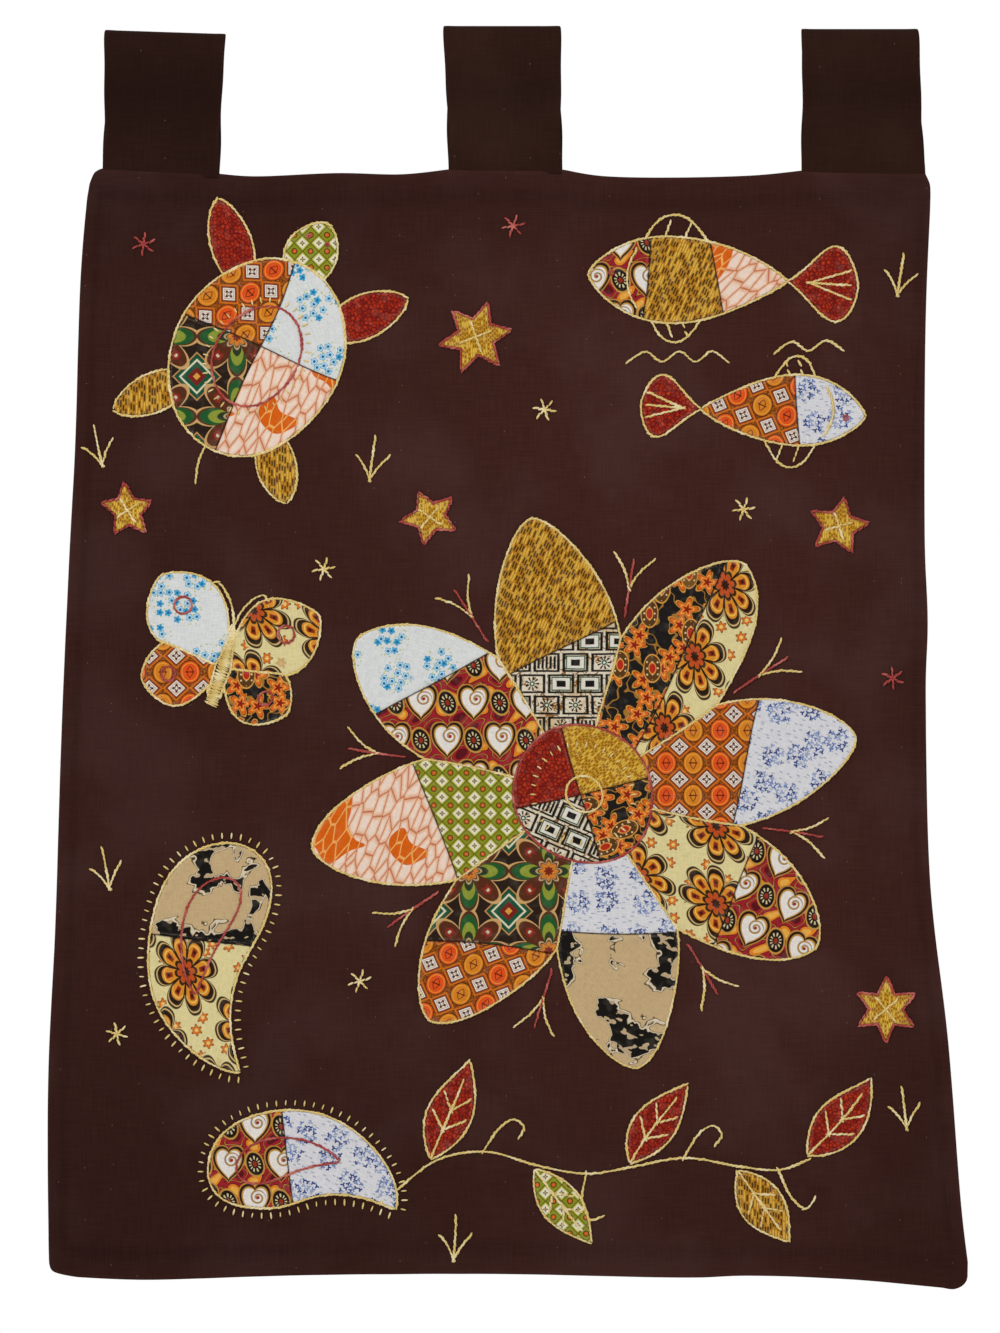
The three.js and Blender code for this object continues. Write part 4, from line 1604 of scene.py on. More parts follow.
@dataclass
class Motif:
    """A motif: its patches, and the lines that are stitched round and on them."""

    name: str
    patches: list[Patch] = field(default_factory=list)
    lines: list[StitchLine] = field(default_factory=list)

    def add(
        self, name: str, shape: Shape, cloths: Sequence[Cloth], seams: Sequence[Seam] = (), **edge: Any
    ) -> None:
        """Cuts a shape and stitches its edge.

        Args:
            name: The name of its patches.
            shape: The shape.
            cloths: A cotton for each part.
            seams: The seams between the parts.
            edge: The outline, where it isn't the shape's own, and how the edge is stitched.
        """
        outline = edge.pop("outline", None)
        self.patches += cut(name, shape, seams, cloths, outline)
        self.lines += edge_lines(shape.outline() if outline is None else outline, **edge)

    def draw(self, *points: Any, lift: float = ON_GROUND) -> None:
        """Stitches a smooth yellow line through a few points."""
        self.lines.append(free_line(*points, lift=lift))

    def ring(self, centre: complex, size: float, thread: Thread, stitch: Stitch = Stitch.STEM) -> None:
        """Stitches a ring on the patches."""
        circle = Oval(centre.real, centre.imag, 0, size, size, 12)
        self.lines.append(StitchLine(hand_cut(circle.outline()), thread, stitch, True, ON_PATCH))

    def sew(self, tree: StitchTree, wardrobe: Wardrobe) -> list[Piece]:
        """Sews the lines, one piece for each thread and stitch."""
        pieces = []
        for thread, stitch in product(Thread, Stitch):
            lines = [line for line in self.lines if line.thread is thread and line.stitch is stitch]
            if lines:
                name = f"{self.name}_{thread.value}_{stitch.name.lower()}"
                pieces.append(tree.sew(name, lines, stitch, wardrobe[thread]))
        return pieces


@dataclass(frozen=True)
class Medallion:
    """Eight petals of two cottons each, round a hub of four."""

    x: float = 62.0
    z: float = -612.0
    turn: float = 11.0
    hub_size: float = 112.0
    hub_cloths: tuple[Cloth, ...] = (Cloth.GARNET, Cloth.SCRIPT, Cloth.HONEY, Cloth.VINE)
    hub_seams: tuple[Seam, ...] = (Seam(0.47, 84), Seam(0.5, -6))
    hub_turn: float = 20.0
    eye_size: float = 30.0
    tick_ring: float = 82.0
    stem: tuple[float, float] = (146, 190)
    petals: tuple[tuple[Seam, Cloth, Cloth], ...] = (
        (Seam(0.46, 66), Cloth.DIAMONDS, Cloth.SPRIGS),
        (Seam(0.5, 10), Cloth.VINE, Cloth.LOTUS),
        (Seam(0.36, 108), Cloth.SCRIPT, Cloth.OCHRE),
        (Seam(0.58, 62), Cloth.SCROLLS, Cloth.FLORET),
        (Seam(0.4, 97), Cloth.LIME, Cloth.VEINS),
        (Seam(0.56, 118), Cloth.WHEEL, Cloth.DIAMONDS),
        (Seam(0.34, 80), Cloth.SPRIGS, Cloth.BLOTCH),
        (Seam(0.52, 100), Cloth.LOTUS, Cloth.SCROLLS),
    )

    def motif(self) -> Motif:
        """Cuts the petals and the hub, and stitches between and round them."""
        out = Motif("medallion")
        step = 360 / len(self.petals)
        for i, (seam, low, high) in enumerate(self.petals):
            petal = Petal(self.x, self.z, self.turn + step * i)
            out.patches += cut(f"petal_{i + 1}", petal, [seam], [low, high])
            out.lines.append(StitchLine(hand_cut(spaced(petal.tip_curve(), 2.4, False)), lift=0.95))
            between = facing(petal.turn + step / 2)
            side = between * np.linspace(petal.hub + 2, petal.shoulder / math.cos(petal.half), 26)
            out.lines.append(StitchLine(hand_cut(petal.root + side), lift=1.15))
            out.lines += self._ray(petal.root, between)
        hub = Oval(self.x, self.z, self.hub_turn, self.hub_size, self.hub_size)
        out.add("hub", hub, self.hub_cloths, self.hub_seams, thread=Thread.RED, out=0.0, lift=1.2)
        out.ring(hub.root, self.eye_size, Thread.YELLOW)
        out.ring(hub.root, self.tick_ring, Thread.YELLOW, Stitch.TICK)
        return out

    def _ray(self, root: complex, heading: complex) -> list[StitchLine]:
        """A red stem between two petals, with two yellow leaves of thread."""
        stem = StitchLine(hand_cut(root + heading * np.linspace(*self.stem, 12)), Thread.RED)
        leaves = []
        for side in (-1, 1):
            bends = [(168, 0), (182, 6 * side), (194, 15 * side)]
            leaves.append(StitchLine(hand_cut(root + heading * spline(bends))))
        return [stem, *leaves]


@dataclass(frozen=True)
class Tortoise:
    """A domed shell of four cottons with a head, four legs and a stitched tail."""

    shell: Oval = Oval(-202.0, -262.0, 62.0, 164.0, 132.0)
    shell_cloths: tuple[Cloth, ...] = (Cloth.WHEEL, Cloth.VEINS, Cloth.DIAMONDS, Cloth.FLORET)
    shell_seams: tuple[Seam, ...] = (Seam(0.55, 96), Seam(0.5, 6))
    limb_root: float = 0.72
    limb_gap: float = 0.5
    eye_size: float = 2.6
    limbs: tuple[tuple[str, float, float, float, float, Cloth], ...] = (
        ("tortoise_head", 0, 0, 62, 40, Cloth.LIME),
        ("tortoise_leg_1", 48, -8, 74, 34, Cloth.GARNET),
        ("tortoise_leg_2", -48, 8, 74, 34, Cloth.GARNET),
        ("tortoise_leg_3", 132, 10, 66, 32, Cloth.OCHRE),
        ("tortoise_leg_4", -132, -10, 66, 32, Cloth.OCHRE),
    )

    def limb(self, around: float, sweep: float, length: float, width: float) -> Lobe:
        """A lobe that starts inside the shell's edge."""
        spot = facing(around)
        local = complex(self.shell.length * spot.real, self.shell.width * spot.imag) * self.limb_root / 2
        root = self.shell.root + local * facing(self.shell.turn)
        return Lobe(root.real, root.imag, self.shell.turn + around + sweep, length, width, 1.1, 0.6)

    def motif(self) -> Motif:
        """Cuts the shell and the limbs, and stitches the eyes, the tail and rings on the shell."""
        out = Motif("tortoise")
        out.add("tortoise_shell", self.shell, self.shell_cloths, self.shell_seams)
        inner = replace(self.shell, length=self.shell.length * 0.5, width=self.shell.width * 0.48).outline()
        out.lines += edge_lines(inner, Thread.RED, lift=ON_PATCH)
        out.lines += edge_lines(inner, out=6.0, stitch=Stitch.TICK, lift=ON_PATCH)
        for name, around, sweep, length, width, cloth in self.limbs:
            lobe = self.limb(around, sweep, length, width)
            out.add(name, lobe, [cloth], outline=self.shell.push_out(lobe.outline(), self.limb_gap))
        head = self.limb(*self.limbs[0][1:5])
        for side in (-1, 1):
            out.ring(head.axis(0.76)[0] + 8j * side * head.axis(0)[1], self.eye_size, Thread.RED, Stitch.KNOT)
        end = self.shell.axis(0)[0]
        out.draw(*[end + (0.5 - 15 * k) * facing(self.shell.turn + 7 * k) for k in (0.1, 1, 2)])
        return out


@dataclass(frozen=True)
class Fish:
    """A fish of a few cottons, with a tail, a gill, an eye and stitched fins."""

    name: str
    body: Lobe
    tail: Lobe
    seams: tuple[Seam, ...]
    cloths: tuple[Cloth, ...]
    eye_size: float = 3.4
    fin_rise: tuple[float, ...] = (0.0, 0.6, 0.9, 1.0, 0.9, 0.55, 0.0)

    def fin(self, low: float, high: float, side: int, height: float) -> list[StitchLine]:
        """A rim between two shares of the body's length, with two rays in it."""
        shares = np.linspace(low, high, len(self.fin_rise))
        rim = [self.body.rim(s, side, 2.0 + height * rise) for s, rise in zip(shares, self.fin_rise)]
        rays = []
        for share in shares[2:5:2]:
            rays.append((self.body.rim(share, side, 2.8), self.body.rim(share + 0.02, side, 0.72 * height)))
        return [free_line(*line) for line in (rim, *rays)]

    def gill(self) -> list[complex]:
        """A bowed line across the body, behind the eye."""
        points = []
        for share in np.linspace(-1, 1, 7):
            at, heading = self.body.axis(0.24 - 0.05 * (1 - share * share))
            points.append(at + 1j * share * (self.body.width * 0.32) * heading)
        return points

    def motif(self) -> Motif:
        """Cuts the body and the tail and stitches the drawing."""
        out = Motif(self.name)
        out.add(self.name, self.body, self.cloths, self.seams)
        out.add(f"{self.name}_tail", self.tail, [Cloth.GARNET])
        out.draw(*self.gill(), lift=ON_PATCH)
        at, heading = self.body.axis(0.11)
        out.ring(at + 3j * heading, self.eye_size, Thread.RED, Stitch.KNOT)
        out.lines += self.fin(0.30, 0.60, 1, 16) + self.fin(0.33, 0.57, -1, 14)
        start, heading = self.tail.axis(0.3)
        for lean in (-0.2, 0.0, 0.2):
            out.draw(start, start + (0.58 + 1j * lean) * self.tail.length * heading, lift=ON_PATCH)
        return out


@dataclass(frozen=True)
class Butterfly:
    """Four wings that lean from a body filled with satin stitches."""

    body: Oval = Oval(-229.1, -511.4, 78.0, 66.0, 13.0)
    gap: float = 0.4
    part_turn: float = 82.0
    wings: tuple[tuple[str, float, float, float, Cloth], ...] = (
        ("butterfly_wing_1", 48, 88, 62, Cloth.FLORET),
        ("butterfly_wing_2", -48, 88, 62, Cloth.LOTUS),
        ("butterfly_wing_3", 112, 64, 50, Cloth.DIAMONDS),
        ("butterfly_wing_4", -112, 64, 50, Cloth.VINE),
    )

    def wing(self, lean: float, length: float, width: float) -> Array:
        """A wing's outline, kept to its side of the body and of the line that parts the wings."""
        turn = self.body.turn
        lobe = Lobe(self.body.x, self.body.z, turn + lean, length, width, 1.3, 0.68)
        side = 0 if lean > 0 else 1
        clear = self.body.push_out(split(lobe.outline(), self.body.root, facing(turn))[side], self.gap)
        ahead = 1 - side if abs(lean) < 90 else side
        return split(clear, self.body.root, facing(turn + math.copysign(self.part_turn, lean)))[ahead]

    def motif(self) -> Motif:
        """Cuts the wings and stitches the body, the feelers and a spot on each wing."""
        out = Motif("butterfly")
        for name, lean, length, width, cloth in self.wings:
            out.add(name, self.body, [cloth], outline=self.wing(lean, length, width), out=0.3)
            spot = self.body.root + 0.66 * length * facing(self.body.turn + lean)
            out.ring(spot, width * 0.22, Thread.RED)
        head, heading = self.body.axis(1.0)
        for side in (-1, 1):
            bends = [(0, 0), (14, 4 * side), (27, 13 * side), (31, 21 * side), (25, 24 * side)]
            out.draw(*[head + complex(*bend) * heading for bend in bends])
        spine = np.linspace(self.body.axis(0.04)[0], self.body.axis(0.96)[0], 40)
        out.lines.append(StitchLine(hand_cut(spine), Thread.YELLOW, Stitch.SATIN, lift=0.9))
        return out


@dataclass(frozen=True)
class Paisley:
    """A bent drop of two cottons, with a drop stitched inside it and ticks outside it."""

    name: str
    drop: Lobe
    seam: Seam
    cloths: tuple[Cloth, Cloth]
    inner_start: float = 0.14

    def inner(self) -> Lobe:
        """The stitched drop, on the axis of the cut one."""
        drop = self.drop
        start, _ = drop.axis(self.inner_start)
        turn = drop.turn + drop.bend * self.inner_start
        moved = replace(drop, x=start.real, z=start.imag, turn=turn)
        return replace(moved, length=drop.length * 0.5, width=drop.width * 0.42, bend=drop.bend / 2)

    def motif(self) -> Motif:
        """Cuts the drop and stitches round it and on it."""
        out = Motif(self.name)
        out.add(self.name, self.drop, self.cloths, [self.seam])
        out.lines += edge_lines(self.inner().outline(), Thread.RED, lift=ON_PATCH)
        out.lines += edge_lines(self.drop.outline(), out=6.5, stitch=Stitch.TICK)
        return out


@dataclass(frozen=True)
class Spray:
    """Five leaves on a stitched stem."""

    leaves: tuple[tuple[float, float, float, float, float, float, Cloth], ...] = (
        (-62, -905, 62, 84, 34, 10, Cloth.GARNET),
        (20, -915, -52, 72, 30, 0, Cloth.LIME),
        (98, -905, 58, 78, 32, -10, Cloth.GARNET),
        (182, -915, -55, 70, 32, 0, Cloth.OCHRE),
        (240, -902, 40, 80, 34, 20, Cloth.GARNET),
    )
    stem: tuple[tuple[float, float], ...] = (
        (-104, -938), (-62, -909), (-20, -902), (20, -911), (60, -915), (98, -909), (140, -903), (182, -911),
        (214, -914), (240, -906),
    )
    tendrils: tuple[tuple[tuple[float, float], ...], ...] = (
        ((-20, -902), (-8, -884), (4, -876), (12, -882), (8, -890)),
        ((140, -903), (152, -884), (164, -878), (170, -886), (165, -893)),
        ((60, -915), (56, -936), (62, -952), (72, -950)),
        ((214, -914), (222, -934), (234, -946), (242, -938)),
    )

    def motif(self) -> Motif:
        """Cuts the leaves and stitches the midribs, side veins, the stem and the tendrils."""
        out = Motif("spray")
        for i, (x, z, turn, length, width, bend, cloth) in enumerate(self.leaves):
            leaf = Lobe(x, z, turn, length, width, 0.85, 1.0, bend)
            out.add(f"leaf_{i + 1}", leaf, [cloth])
            out.draw(*[leaf.axis(share)[0] for share in (0.02, 0.3, 0.55, 0.8)], lift=ON_PATCH)
            for share, side in product((0.3, 0.5), (-1, 1)):
                out.draw(leaf.axis(share)[0], leaf.rim(share + 0.14, side, -4.5), lift=ON_PATCH)
        for line in (self.stem, *self.tendrils):
            out.draw(*line)
        return out


@dataclass(frozen=True)
class Stars:
    """Small gold stars with red edges and a stitched cross."""

    stars: tuple[Star, ...] = (
        Star(-28, -250, 12, 56, 6),
        Star(-62, -392, 40, 44, 5),
        Star(264, -400, 5, 46, 5),
        Star(-304, -388, 20, 42, 5),
        Star(304, -786, 33, 50, 6),
    )

    def motif(self) -> Motif:
        """Cuts the stars and stitches them down."""
        out = Motif("stars")
        for i, star in enumerate(self.stars):
            out.add(f"star_{i + 1}", star, [Cloth.HONEY], thread=Thread.RED)
            out.lines += sparks(star.root, star.size * 0.2, star.turn + 10, 2, ON_PATCH)
        return out


def sparks(root: complex, arm: float, turn: float, count: int, lift: float = ON_GROUND) -> list[StitchLine]:
    """A few stitched strokes that cross at one point."""
    arms = [arm * facing(turn + 180 * i / count) for i in range(count)]
    return [free_line(root - reach, root + reach, lift=lift) for reach in arms]


@dataclass(frozen=True)
class GroundDrawing:
    """Lines stitched on the bare ground: ripples, tufts of grass and small sparks."""

    ripples: tuple[tuple[float, float, int], ...] = ((96, -262, 3), (214, -256, 2))
    tufts: tuple[tuple[float, float, float], ...] = (
        (-322, -352, 100), (-108, -360, 84), (-322, -690, 96), (318, -880, 92), (-46, -986, 88),
        (310, -214, 80),
    )
    spots: tuple[tuple[float, float, float], ...] = (
        (-292, -176, 20), (30, -306, 50), (-150, -430, 10), (308, -520, 35), (-120, -760, 15),
        (-310, -806, 40), (4, -160, 70), (190, -386, 5),
    )

    def motif(self) -> Motif:
        """Draws them all. Every third spark is red."""
        out = Motif("drawing")
        for x, z, count in self.ripples:
            out.draw(*[(x + 13 * k, z + (4 if k % 2 else -4)) for k in range(2 * count + 1)])
        for x, z, turn in self.tufts:
            for lean, length in ((-34, 20), (0, 32), (34, 22)):
                foot, tip = complex(x, z), complex(x, z) + length * facing(turn - lean)
                out.draw(foot, (foot + tip) / 2 + 1.6 * facing(turn), tip)
        for i, (x, z, turn) in enumerate(self.spots):
            thread = Thread.RED if i % 3 == 0 else Thread.YELLOW
            out.lines += [replace(line, thread=thread) for line in sparks(complex(x, z), 7.0, turn, 3)]
        return out


def all_motifs() -> list[Motif]:
    """Every motif, from the top of the hanging down."""
    upper = Lobe(62, -196, -3, 158, 70, 0.82, 0.85)
    upper_tail = Lobe(220.8, -204.3, -3, 56, 59, 2.0, 0.62)
    lower = Lobe(288, -312, 176, 132, 56, 0.82, 0.85)
    lower_tail = Lobe(155.3, -302.7, 176, 46, 47, 2.0, 0.62)
    upper_cloths = (Cloth.SCROLLS, Cloth.OCHRE, Cloth.VEINS)
    left_drop = Lobe(-196, -668, 205, 200, 84, 0.62, 0.8, 118)
    low_drop = Lobe(-230, -938, 60, 168, 74, 0.62, 0.8, -125)
    makers = (
        Tortoise(),
        Fish("fish_upper", upper, upper_tail, (Seam(0.3, 84), Seam(0.66, 102)), upper_cloths),
        Fish("fish_lower", lower, lower_tail, (Seam(0.42, 98),), (Cloth.SPRIGS, Cloth.DIAMONDS)),
        Butterfly(),
        Medallion(),
        Paisley("paisley_left", left_drop, Seam(0.42, 100), (Cloth.BLOTCH, Cloth.LOTUS)),
        Paisley("paisley_low", low_drop, Seam(0.4, 85), (Cloth.SCROLLS, Cloth.SPRIGS)),
        Spray(),
        Stars(),
        GroundDrawing(),
    )
    return [maker.motif() for maker in makers]


# The ground cloth and the tab loops


@dataclass(frozen=True)
class TabLoop:
    """A doubled strip bent over a rod, its feet sewn into the top edge. Sizes are in millimetres.

    top and base are the left and right ends of its upper and lower edges in x, and top_z and base_z their
    heights.
    """

    name: str
    top: tuple[float, float]
    base: tuple[float, float]
    top_z: tuple[float, float]
    base_z: tuple[float, float]
    thick: float = 1.6
    bend_radius: float = 11.5
    tuck: float = 4.0
    leg_steps: int = 36
    bend_steps: int = 22
    columns: int = 24
    near: tuple[float, ...] = (0.0, 0.25, 0.8, 1.8, 3.4)
    margin: float = 5.6

    def _path(self, height: float) -> tuple[Array, Array]:
        """The strip's middle line from the front foot over the bend, y + 1j * z, and its half thickness."""
        half = self.thick / 2
        bend_at = height - self.bend_radius - half
        share = np.arange(self.leg_steps) / self.leg_steps
        offset = half + (self.bend_radius - half) * np.sin(np.pi / 2 * share)
        leg = np.append([complex(0.5, -self.tuck), complex(0.6, -1.4)], offset + 1j * bend_at * share)
        turned = np.exp(-1j * np.pi * np.arange(self.bend_steps + 1) / self.bend_steps)
        line = np.concatenate((-np.conj(leg), 1j * bend_at - self.bend_radius * turned, leg[::-1]))
        halves = np.full(len(line), half)
        halves[[0, -1]] = 0.4
        halves[[1, -2]] = 0.6
        return line, halves

    def _section(self, wide: float) -> tuple[Array, Array, int]:
        """A closed ring across the strip.

        Args:
            wide: The strip's width.

        Returns:
            Shares of the width, sides of the middle line, and how many of them make up the front.
        """
        near = np.array(self.near)
        inside = np.linspace(self.margin, wide - self.margin, self.columns)
        across = np.concatenate((near, inside, wide - near[::-1]))
        from_edge = np.minimum(across, wide - across)
        plump = rounded(from_edge, 1.0) * (1 + 0.22 * bell(from_edge, 3.4, 3.0))
        return np.append(across, across[-2:0:-1]) / wide, np.append(plump, -plump[-2:0:-1]), len(across)

    def make(self, wardrobe: Wardrobe) -> None:
        height, wide = self.top_z[0] - self.base_z[0], self.base[1] - self.base[0]
        line, halves = self._path(height)
        t, side, front_count = self._section(wide)
        run = np.gradient(line)
        normal = (1j * run / np.abs(run))[:, None]
        travelled = np.append(0.0, np.cumsum(np.abs(np.diff(line))))[:, None]
        hung = np.sin(np.pi * np.clip(line.imag / height, 0, 1))[:, None]
        droop = 0.35 * np.sin(t * 9.0 + travelled / 17) * hung
        at = line[:, None] + normal * (halves[:, None] * side + droop)
        share = at.imag / height
        left, right = blend(self.base[0], self.top[0], share), blend(self.base[1], self.top[1], share)
        waver = 0.7 * np.sin(travelled / 21 + self.base[0]) + 0.3 * np.sin(travelled / 8)
        x = left + (right - left) * t + waver * (2 * t - 1)
        z = blend(blend(*self.base_z, t), blend(*self.top_z, t), share)
        verts = np.column_stack((x.ravel(), at.real.ravel(), z.ravel())) * MM
        index = np.arange(at.size).reshape(at.shape)
        faces = quads(np.column_stack((index, index[:, 0])))
        faces += self._foot(index[0], front_count)
        faces += [face[::-1] for face in self._foot(index[-1], front_count)]
        uv = (self.base[0] + t * wide + 1j * travelled).ravel()
        edge = np.broadcast_to(np.minimum(t, 1 - t) * wide, at.shape).ravel()
        piece = skin(f"{self.name}_strip", verts, faces, uv, edge)
        piece.data.materials.append(wardrobe[Cloth.TAB])
        enter(piece, self.name)
        flat = (wide * MM, float(travelled[-1, 0]) * MM)

    @staticmethod
    def _foot(ring: Array, front_count: int) -> list[list[int]]:
        """The faces that close one end of the strip."""
        last = front_count - 1
        front = ring[:front_count].tolist()
        behind = [front[0], *ring[:last:-1].tolist(), front[last]]
        faces = [[front[i], behind[i], behind[i + 1], front[i + 1]] for i in range(last)]
        return [list(dict.fromkeys(face)) for face in faces]


def quads(index: Array) -> list[list[int]]:
    """The faces of a grid of vertex numbers, facing the viewer."""
    corners = (index[:-1, :-1], index[:-1, 1:], index[1:, 1:], index[1:, :-1])
    return np.stack([c.ravel() for c in corners], axis=1).tolist()


TABS = (
    TabLoop("tab_left", (-321.6, -226.4), (-324.0, -231.2), (-1.6, -4.8), (-112.0, -116.5)),
    TabLoop("tab_middle", (-51.2, 41.6), (-47.2, 43.2), (1.6, 1.6), (-113.0, -113.0)),
    TabLoop("tab_right", (235.2, 327.2), (235.2, 333.6), (-0.8, -0.8), (-114.0, -116.0)),
)

Run = tuple[tuple[float, float], ...]


@dataclass(frozen=True)
class GroundCloth:
    """The ground cloth: a closed skin of two faces that meet in a rounded edge, with a turned hem behind.

    Each run is a list of points that a side or a corner passes, in millimetres.
    """

    bottom: Run = (
        (-346, -1000), (-286, -1001.6), (-166, -997.6), (-6, -997), (134, -1000), (194, -998.4),
        (274, -1000.8), (347, -1007),
    )
    right_corner: Run = ((347, -1007), (357, -1008), (366, -1002), (367.6, -989))
    right: Run = (
        (367.6, -989), (362, -938), (352, -810), (337.6, -682), (334.4, -538), (336, -474), (333.6, -400),
        (334.4, -240), (338, -140),
    )
    right_shoulder: Run = ((338, -140), (337.6, -125.6), (333.6, -116))
    top: tuple[Run, ...] = (
        ((333.6, -116), (235.2, -114)),
        ((235.2, -114), (194, -118), (130, -119.6), (76, -118.4), (43.2, -113)),
        ((43.2, -113), (-47.2, -113)),
        ((-47.2, -113), (-86, -117), (-137, -116), (-200, -118.6), (-231.2, -116.5)),
        ((-231.2, -116.5), (-324, -112)),
    )
    left_shoulder: Run = ((-324, -112), (-331, -116), (-336, -128))
    left: Run = (
        (-336, -128), (-342, -202), (-346, -330), (-351, -426), (-357, -560), (-362, -714), (-368, -842),
        (-368, -982),
    )
    left_corner: Run = ((-368, -982), (-365, -995), (-346, -1000))
    cell: float = 4.6
    side_hem: float = 13.0
    end_hem: float = 22.0
    edge_round: float = 1.3
    near: tuple[float, ...] = (0, 0.3, 0.9, 1.9, 3.6, 6.4, 9.6)
    near_hem: tuple[float, ...] = (-0.9, 0.2, 1.4, 4.0)

    @staticmethod
    def _run(*curves: Run) -> Array:
        """Joins smooth curves into one line."""
        parts = [spline(curve, 12) for curve in curves]
        return np.concatenate([part[:-1] for part in parts] + [parts[-1][-1:]])

    def _sides(self) -> tuple[Array, Array, Array, Array]:
        """The bottom, right, top and left sides, each from one corner's middle to the next one's."""
        corners = (self.left_corner, self.right_corner, self.right_shoulder, self.left_shoulder)
        bends = [self._run(corner) for corner in corners]
        halves = [(bend[: len(bend) // 2 + 1], bend[len(bend) // 2 :]) for bend in bends]
        mains = (self._run(self.bottom), self._run(self.right), self._run(*self.top), self._run(self.left))
        joined = []
        for i, main in enumerate(mains):
            joined.append(np.concatenate((halves[i][1][:-1], main[:-1], halves[(i + 1) % 4][0])))
        return joined[0], joined[1], joined[2][::-1], joined[3][::-1]

    def _stations(self, length: float, hem: float) -> Array:
        """Places along a side, closer together where the edge rounds and where the hem ends."""
        near = np.append(self.near, [hem + offset for offset in self.near_hem])
        middle = np.arange(near[-1] + self.cell, length - near[-1] - self.cell / 2, self.cell)
        return np.concatenate((near, middle, length - near[::-1]))

    def _plan(self) -> tuple[Array, Array, Array]:
        """A grid of points over the cloth, and how far each lies from a side and from an end."""
        low, right, high, left = self._sides()
        wide, tall = np.abs(np.diff(low)).sum(), np.abs(np.diff(right)).sum()
        across = self._stations(wide, self.side_hem)[None, :]
        up = self._stations(tall, self.end_hem)[:, None]
        u, v = across / wide, up / tall
        between = (1 - v) * along(low, u) + v * along(high, u)
        between = between + (1 - u) * along(left, v) + u * along(right, v)
        foot = (1 - u) * low[0] + u * low[-1]
        grid = between - (1 - v) * foot - v * ((1 - u) * high[0] + u * high[-1])
        return grid, np.minimum(across, wide - across), np.minimum(up, tall - up)

    def make(self, wardrobe: Wardrobe, stitched: Array) -> Piece:
        """Builds and dresses the cloth.

        Args:
            wardrobe: The materials.
            stitched: Points along the lines of stitches, where the cloth is drawn in.

        Returns:
            The new piece.
        """
        grid, from_side, from_end = self._plan()
        edge = np.minimum(from_side, from_end)
        roll = rounded(edge, self.edge_round)
        in_hem = 1 - smoothstep(-0.8, 0.6, np.minimum(from_side - self.side_hem, from_end - self.end_hem))
        middle = HUNG.middle(grid)
        drawn_in = self._drawn_in(grid.ravel(), stitched).reshape(grid.shape) * smoothstep(2, 8, edge)
        front = middle - roll * (HALF_THICK + 0.28 * in_hem) + drawn_in
        back = middle + roll * (HALF_THICK - 0.1 + 0.8 * in_hem)
        index = np.arange(grid.size).reshape(grid.shape)
        inner = np.zeros(grid.shape, dtype=bool)
        inner[1:-1, 1:-1] = True
        behind = index.copy()
        behind[inner] = grid.size + np.arange(inner.sum())
        faces = quads(index) + [face[::-1] for face in quads(behind)]
        points = np.append(grid.ravel(), grid[inner])
        verts = to_space(points, np.append(front.ravel(), back[inner]))
        hem_scale = np.minimum(from_side * self.end_hem / self.side_hem, from_end) * 15.0 / self.end_hem
        edges = np.append(hem_scale.ravel(), hem_scale[inner])
        piece = skin("ground_cloth_hung", verts, faces, points, edges)
        piece.data.materials.append(wardrobe[Cloth.GROUND])
        return piece

    @staticmethod
    def _drawn_in(points: Array, stitched: Array) -> Array:
        """How far the face sinks along the stitches, with a soft swell beside them."""
        tree = KDTree(len(stitched))
        for i, p in enumerate(stitched):
            tree.insert((p.real, p.imag, 0.0), i)
        tree.balance()
        away = np.array([tree.find((p.real, p.imag, 0.0))[2] for p in points])
        return 0.42 * bell(away, 0.0, 5.0) - 0.30 * bell(away, 11.0, 5.5)

    def hem_line(self) -> StitchLine:
        """The slip stitches that hold the hem, on the reverse side."""
        low, right, high, left = self._sides()
        ring = even(np.concatenate((low[:-1], right[:-1], high[::-1][:-1], left[::-1][:-1])), 6.0)
        run = np.roll(ring, -1) - np.roll(ring, 1)
        upright = smoothstep(0.2, 0.8, np.abs(run.imag) / np.abs(run))
        depth = blend(self.end_hem, self.side_hem, upright)
        return StitchLine(outward(ring, -depth + 0.6), Thread.BROWN, Stitch.SLIP, True)


# The studio


@dataclass(frozen=True)
class Lamp:
    """A round, soft lamp: its place and size in metres and its power in watts."""

    name: str
    place: tuple[float, float, float]
    size: float
    power: float

    def make(self, aim: Vector) -> None:
        """Hangs the lamp and turns it to a point."""
        data = bpy.data.lights.new(self.name, "AREA")
        data.shape = "DISK"
        data.size = self.size
        data.energy = self.power
        lamp = placed(self.name, data)
        lamp.location = self.place
        lamp.rotation_euler = (aim - lamp.location).to_track_quat("-Z", "Y").to_euler()


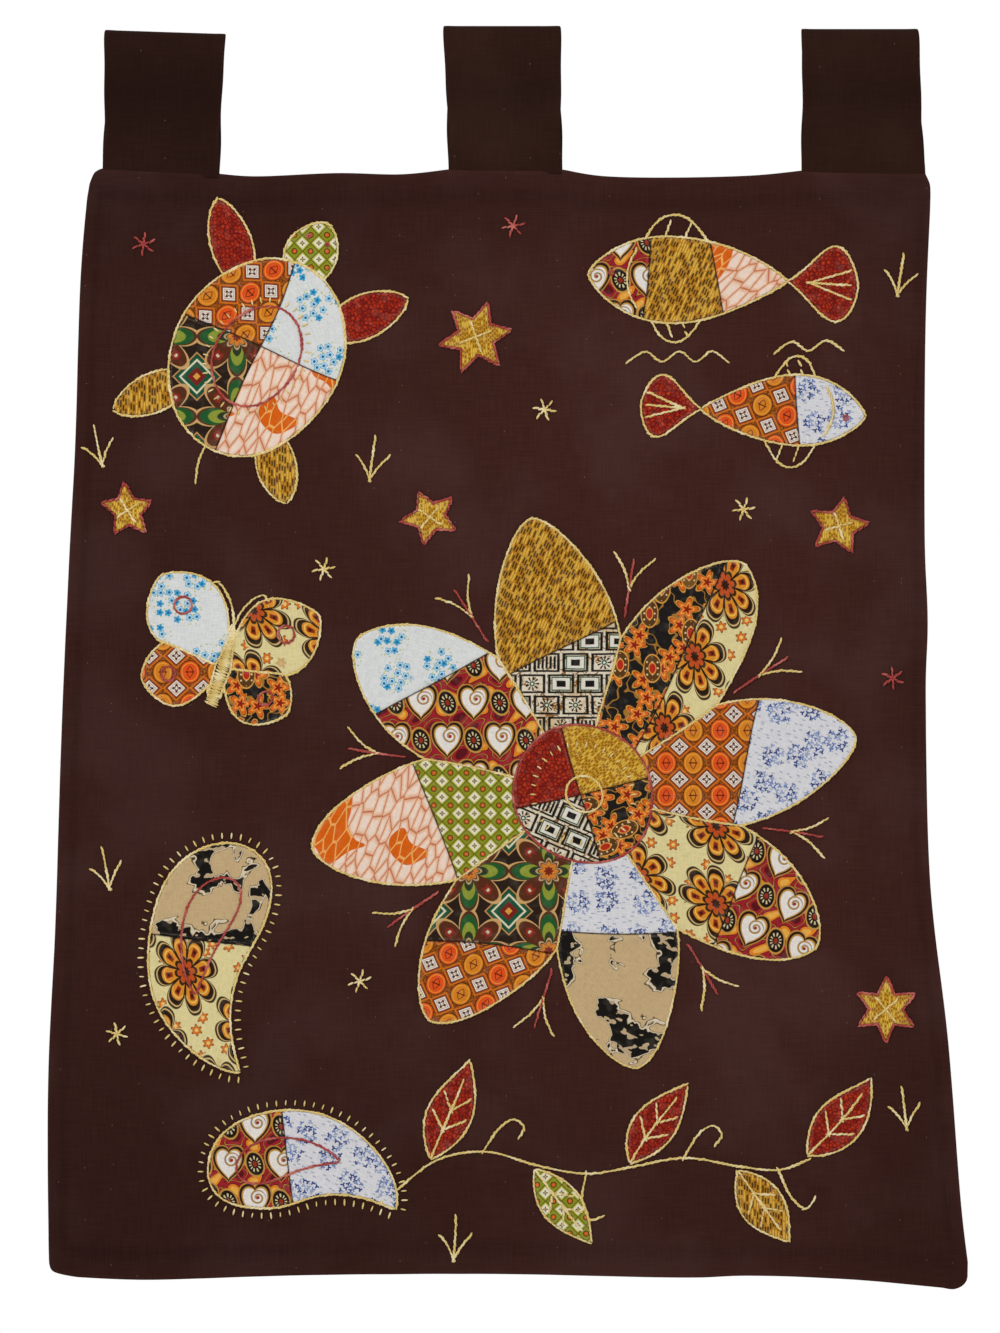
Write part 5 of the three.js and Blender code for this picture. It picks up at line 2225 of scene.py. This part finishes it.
@dataclass(frozen=True)
class Studio:
    """A pale floor, soft light and a long lens square to the hanging. Sizes are in metres."""

    centre: tuple[float, float] = (-0.0064, -0.5108)
    view_width: float = 0.8
    distance: float = 6.0
    sensor: float = 36.0
    floor_z: float = -1.25
    floor_reach: float = 1.4
    fill: float = 0.50
    lamps: tuple[Lamp, ...] = (
        Lamp("key", (-1.5, -2.6, 0.9), 1.5, 42.0),
        Lamp("side", (2.2, -2.4, -0.2), 1.8, 14.7),
        Lamp("behind", (0.6, 2.8, 0.4), 1.8, 29.4),
    )

    def camera(self) -> None:
        """The camera at the photograph's angle."""
        data = bpy.data.cameras.new("camera")
        data.sensor_fit = "HORIZONTAL"
        data.sensor_width = self.sensor
        data.lens = self.sensor * self.distance / self.view_width
        data.clip_end = 10 * self.distance
        camera = placed("camera", data)
        camera.location = (self.centre[0], -self.distance, self.centre[1])
        camera.rotation_euler = (math.pi / 2, 0.0, 0.0)
        bpy.context.scene.camera = camera

    def world(self) -> None:
        """A white surround that lights the cloth less than it shows."""
        world = bpy.data.worlds.new("studio")
        world.use_nodes = True
        tree = Tree(world.node_tree)
        white = (1.0, 1.0, 1.0, 1.0)
        lit = tree.add("ShaderNodeBackground", None, {"Color": white, "Strength": self.fill})
        seen = tree.add("ShaderNodeBackground", None, {"Color": white})
        rays = tree.add("ShaderNodeLightPath", None, None, "Is Camera Ray")
        either = tree.add("ShaderNodeMixShader", None, {0: rays, 1: lit, 2: seen})
        tree.add("ShaderNodeOutputWorld", None, {0: either})
        bpy.context.scene.world = world
        bpy.context.scene.view_settings.view_transform = "Standard"

    def floor(self) -> None:
        """A pale floor well below the hem."""
        reach = self.floor_reach * np.array([-1 - 1j, 1 - 1j, 1 + 1j, -1 + 1j])
        verts = np.column_stack((reach.real, reach.imag, np.full(4, self.floor_z)))
        floor = skin("floor", verts, [[0, 1, 2, 3]], reach, np.zeros(4))
        g = Dye("pale_floor")
        floor.data.materials.append(g.finish(g.mix("e9e7e3", "efedea", g.drift(3.0)), 0.0, 0.8))

    def set_up(self) -> None:
        """Places everything."""
        self.camera()
        for lamp in self.lamps:
            lamp.make(Vector((0.0, 0.0, self.centre[1])))
        self.world()
        self.floor()


def write_sizes() -> None:
    """Updates the view layer."""
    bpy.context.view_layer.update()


def main() -> None:
    """Builds the hanging piece by piece and attaches each to its body."""
    logging.basicConfig(level=logging.INFO, format="%(name)s: %(message)s")
    Studio().set_up()
    wardrobe = Wardrobe()
    tree = StitchTree()
    motifs = all_motifs()
    lines = [line for motif in motifs for line in motif.lines]
    ground = GroundCloth()
    cloth = ground.make(wardrobe, np.concatenate([spaced(line.points, 4.0, line.closed) for line in lines]))
    stitches: list[Piece] = []
    for motif in motifs:
        for patch in motif.patches:
            patch.make(wardrobe)
        stitches += motif.sew(tree, wardrobe)
    for thread in (Thread.YELLOW, Thread.RED):
        behind = [line for line in lines if line.thread is thread]
        stitches.append(tree.sew(f"reverse_{thread.value}", behind, Stitch.REVERSE, wardrobe[thread]))
    stitches.append(tree.sew("hem", [ground.hem_line()], Stitch.SLIP, wardrobe[Thread.BROWN]))
    for piece in stitches:
        enter(piece)
    for tab in TABS:
        tab.make(wardrobe)
    enter(cloth, "ground_cloth")
    write_sizes()


if __name__ == "__main__":
    main()
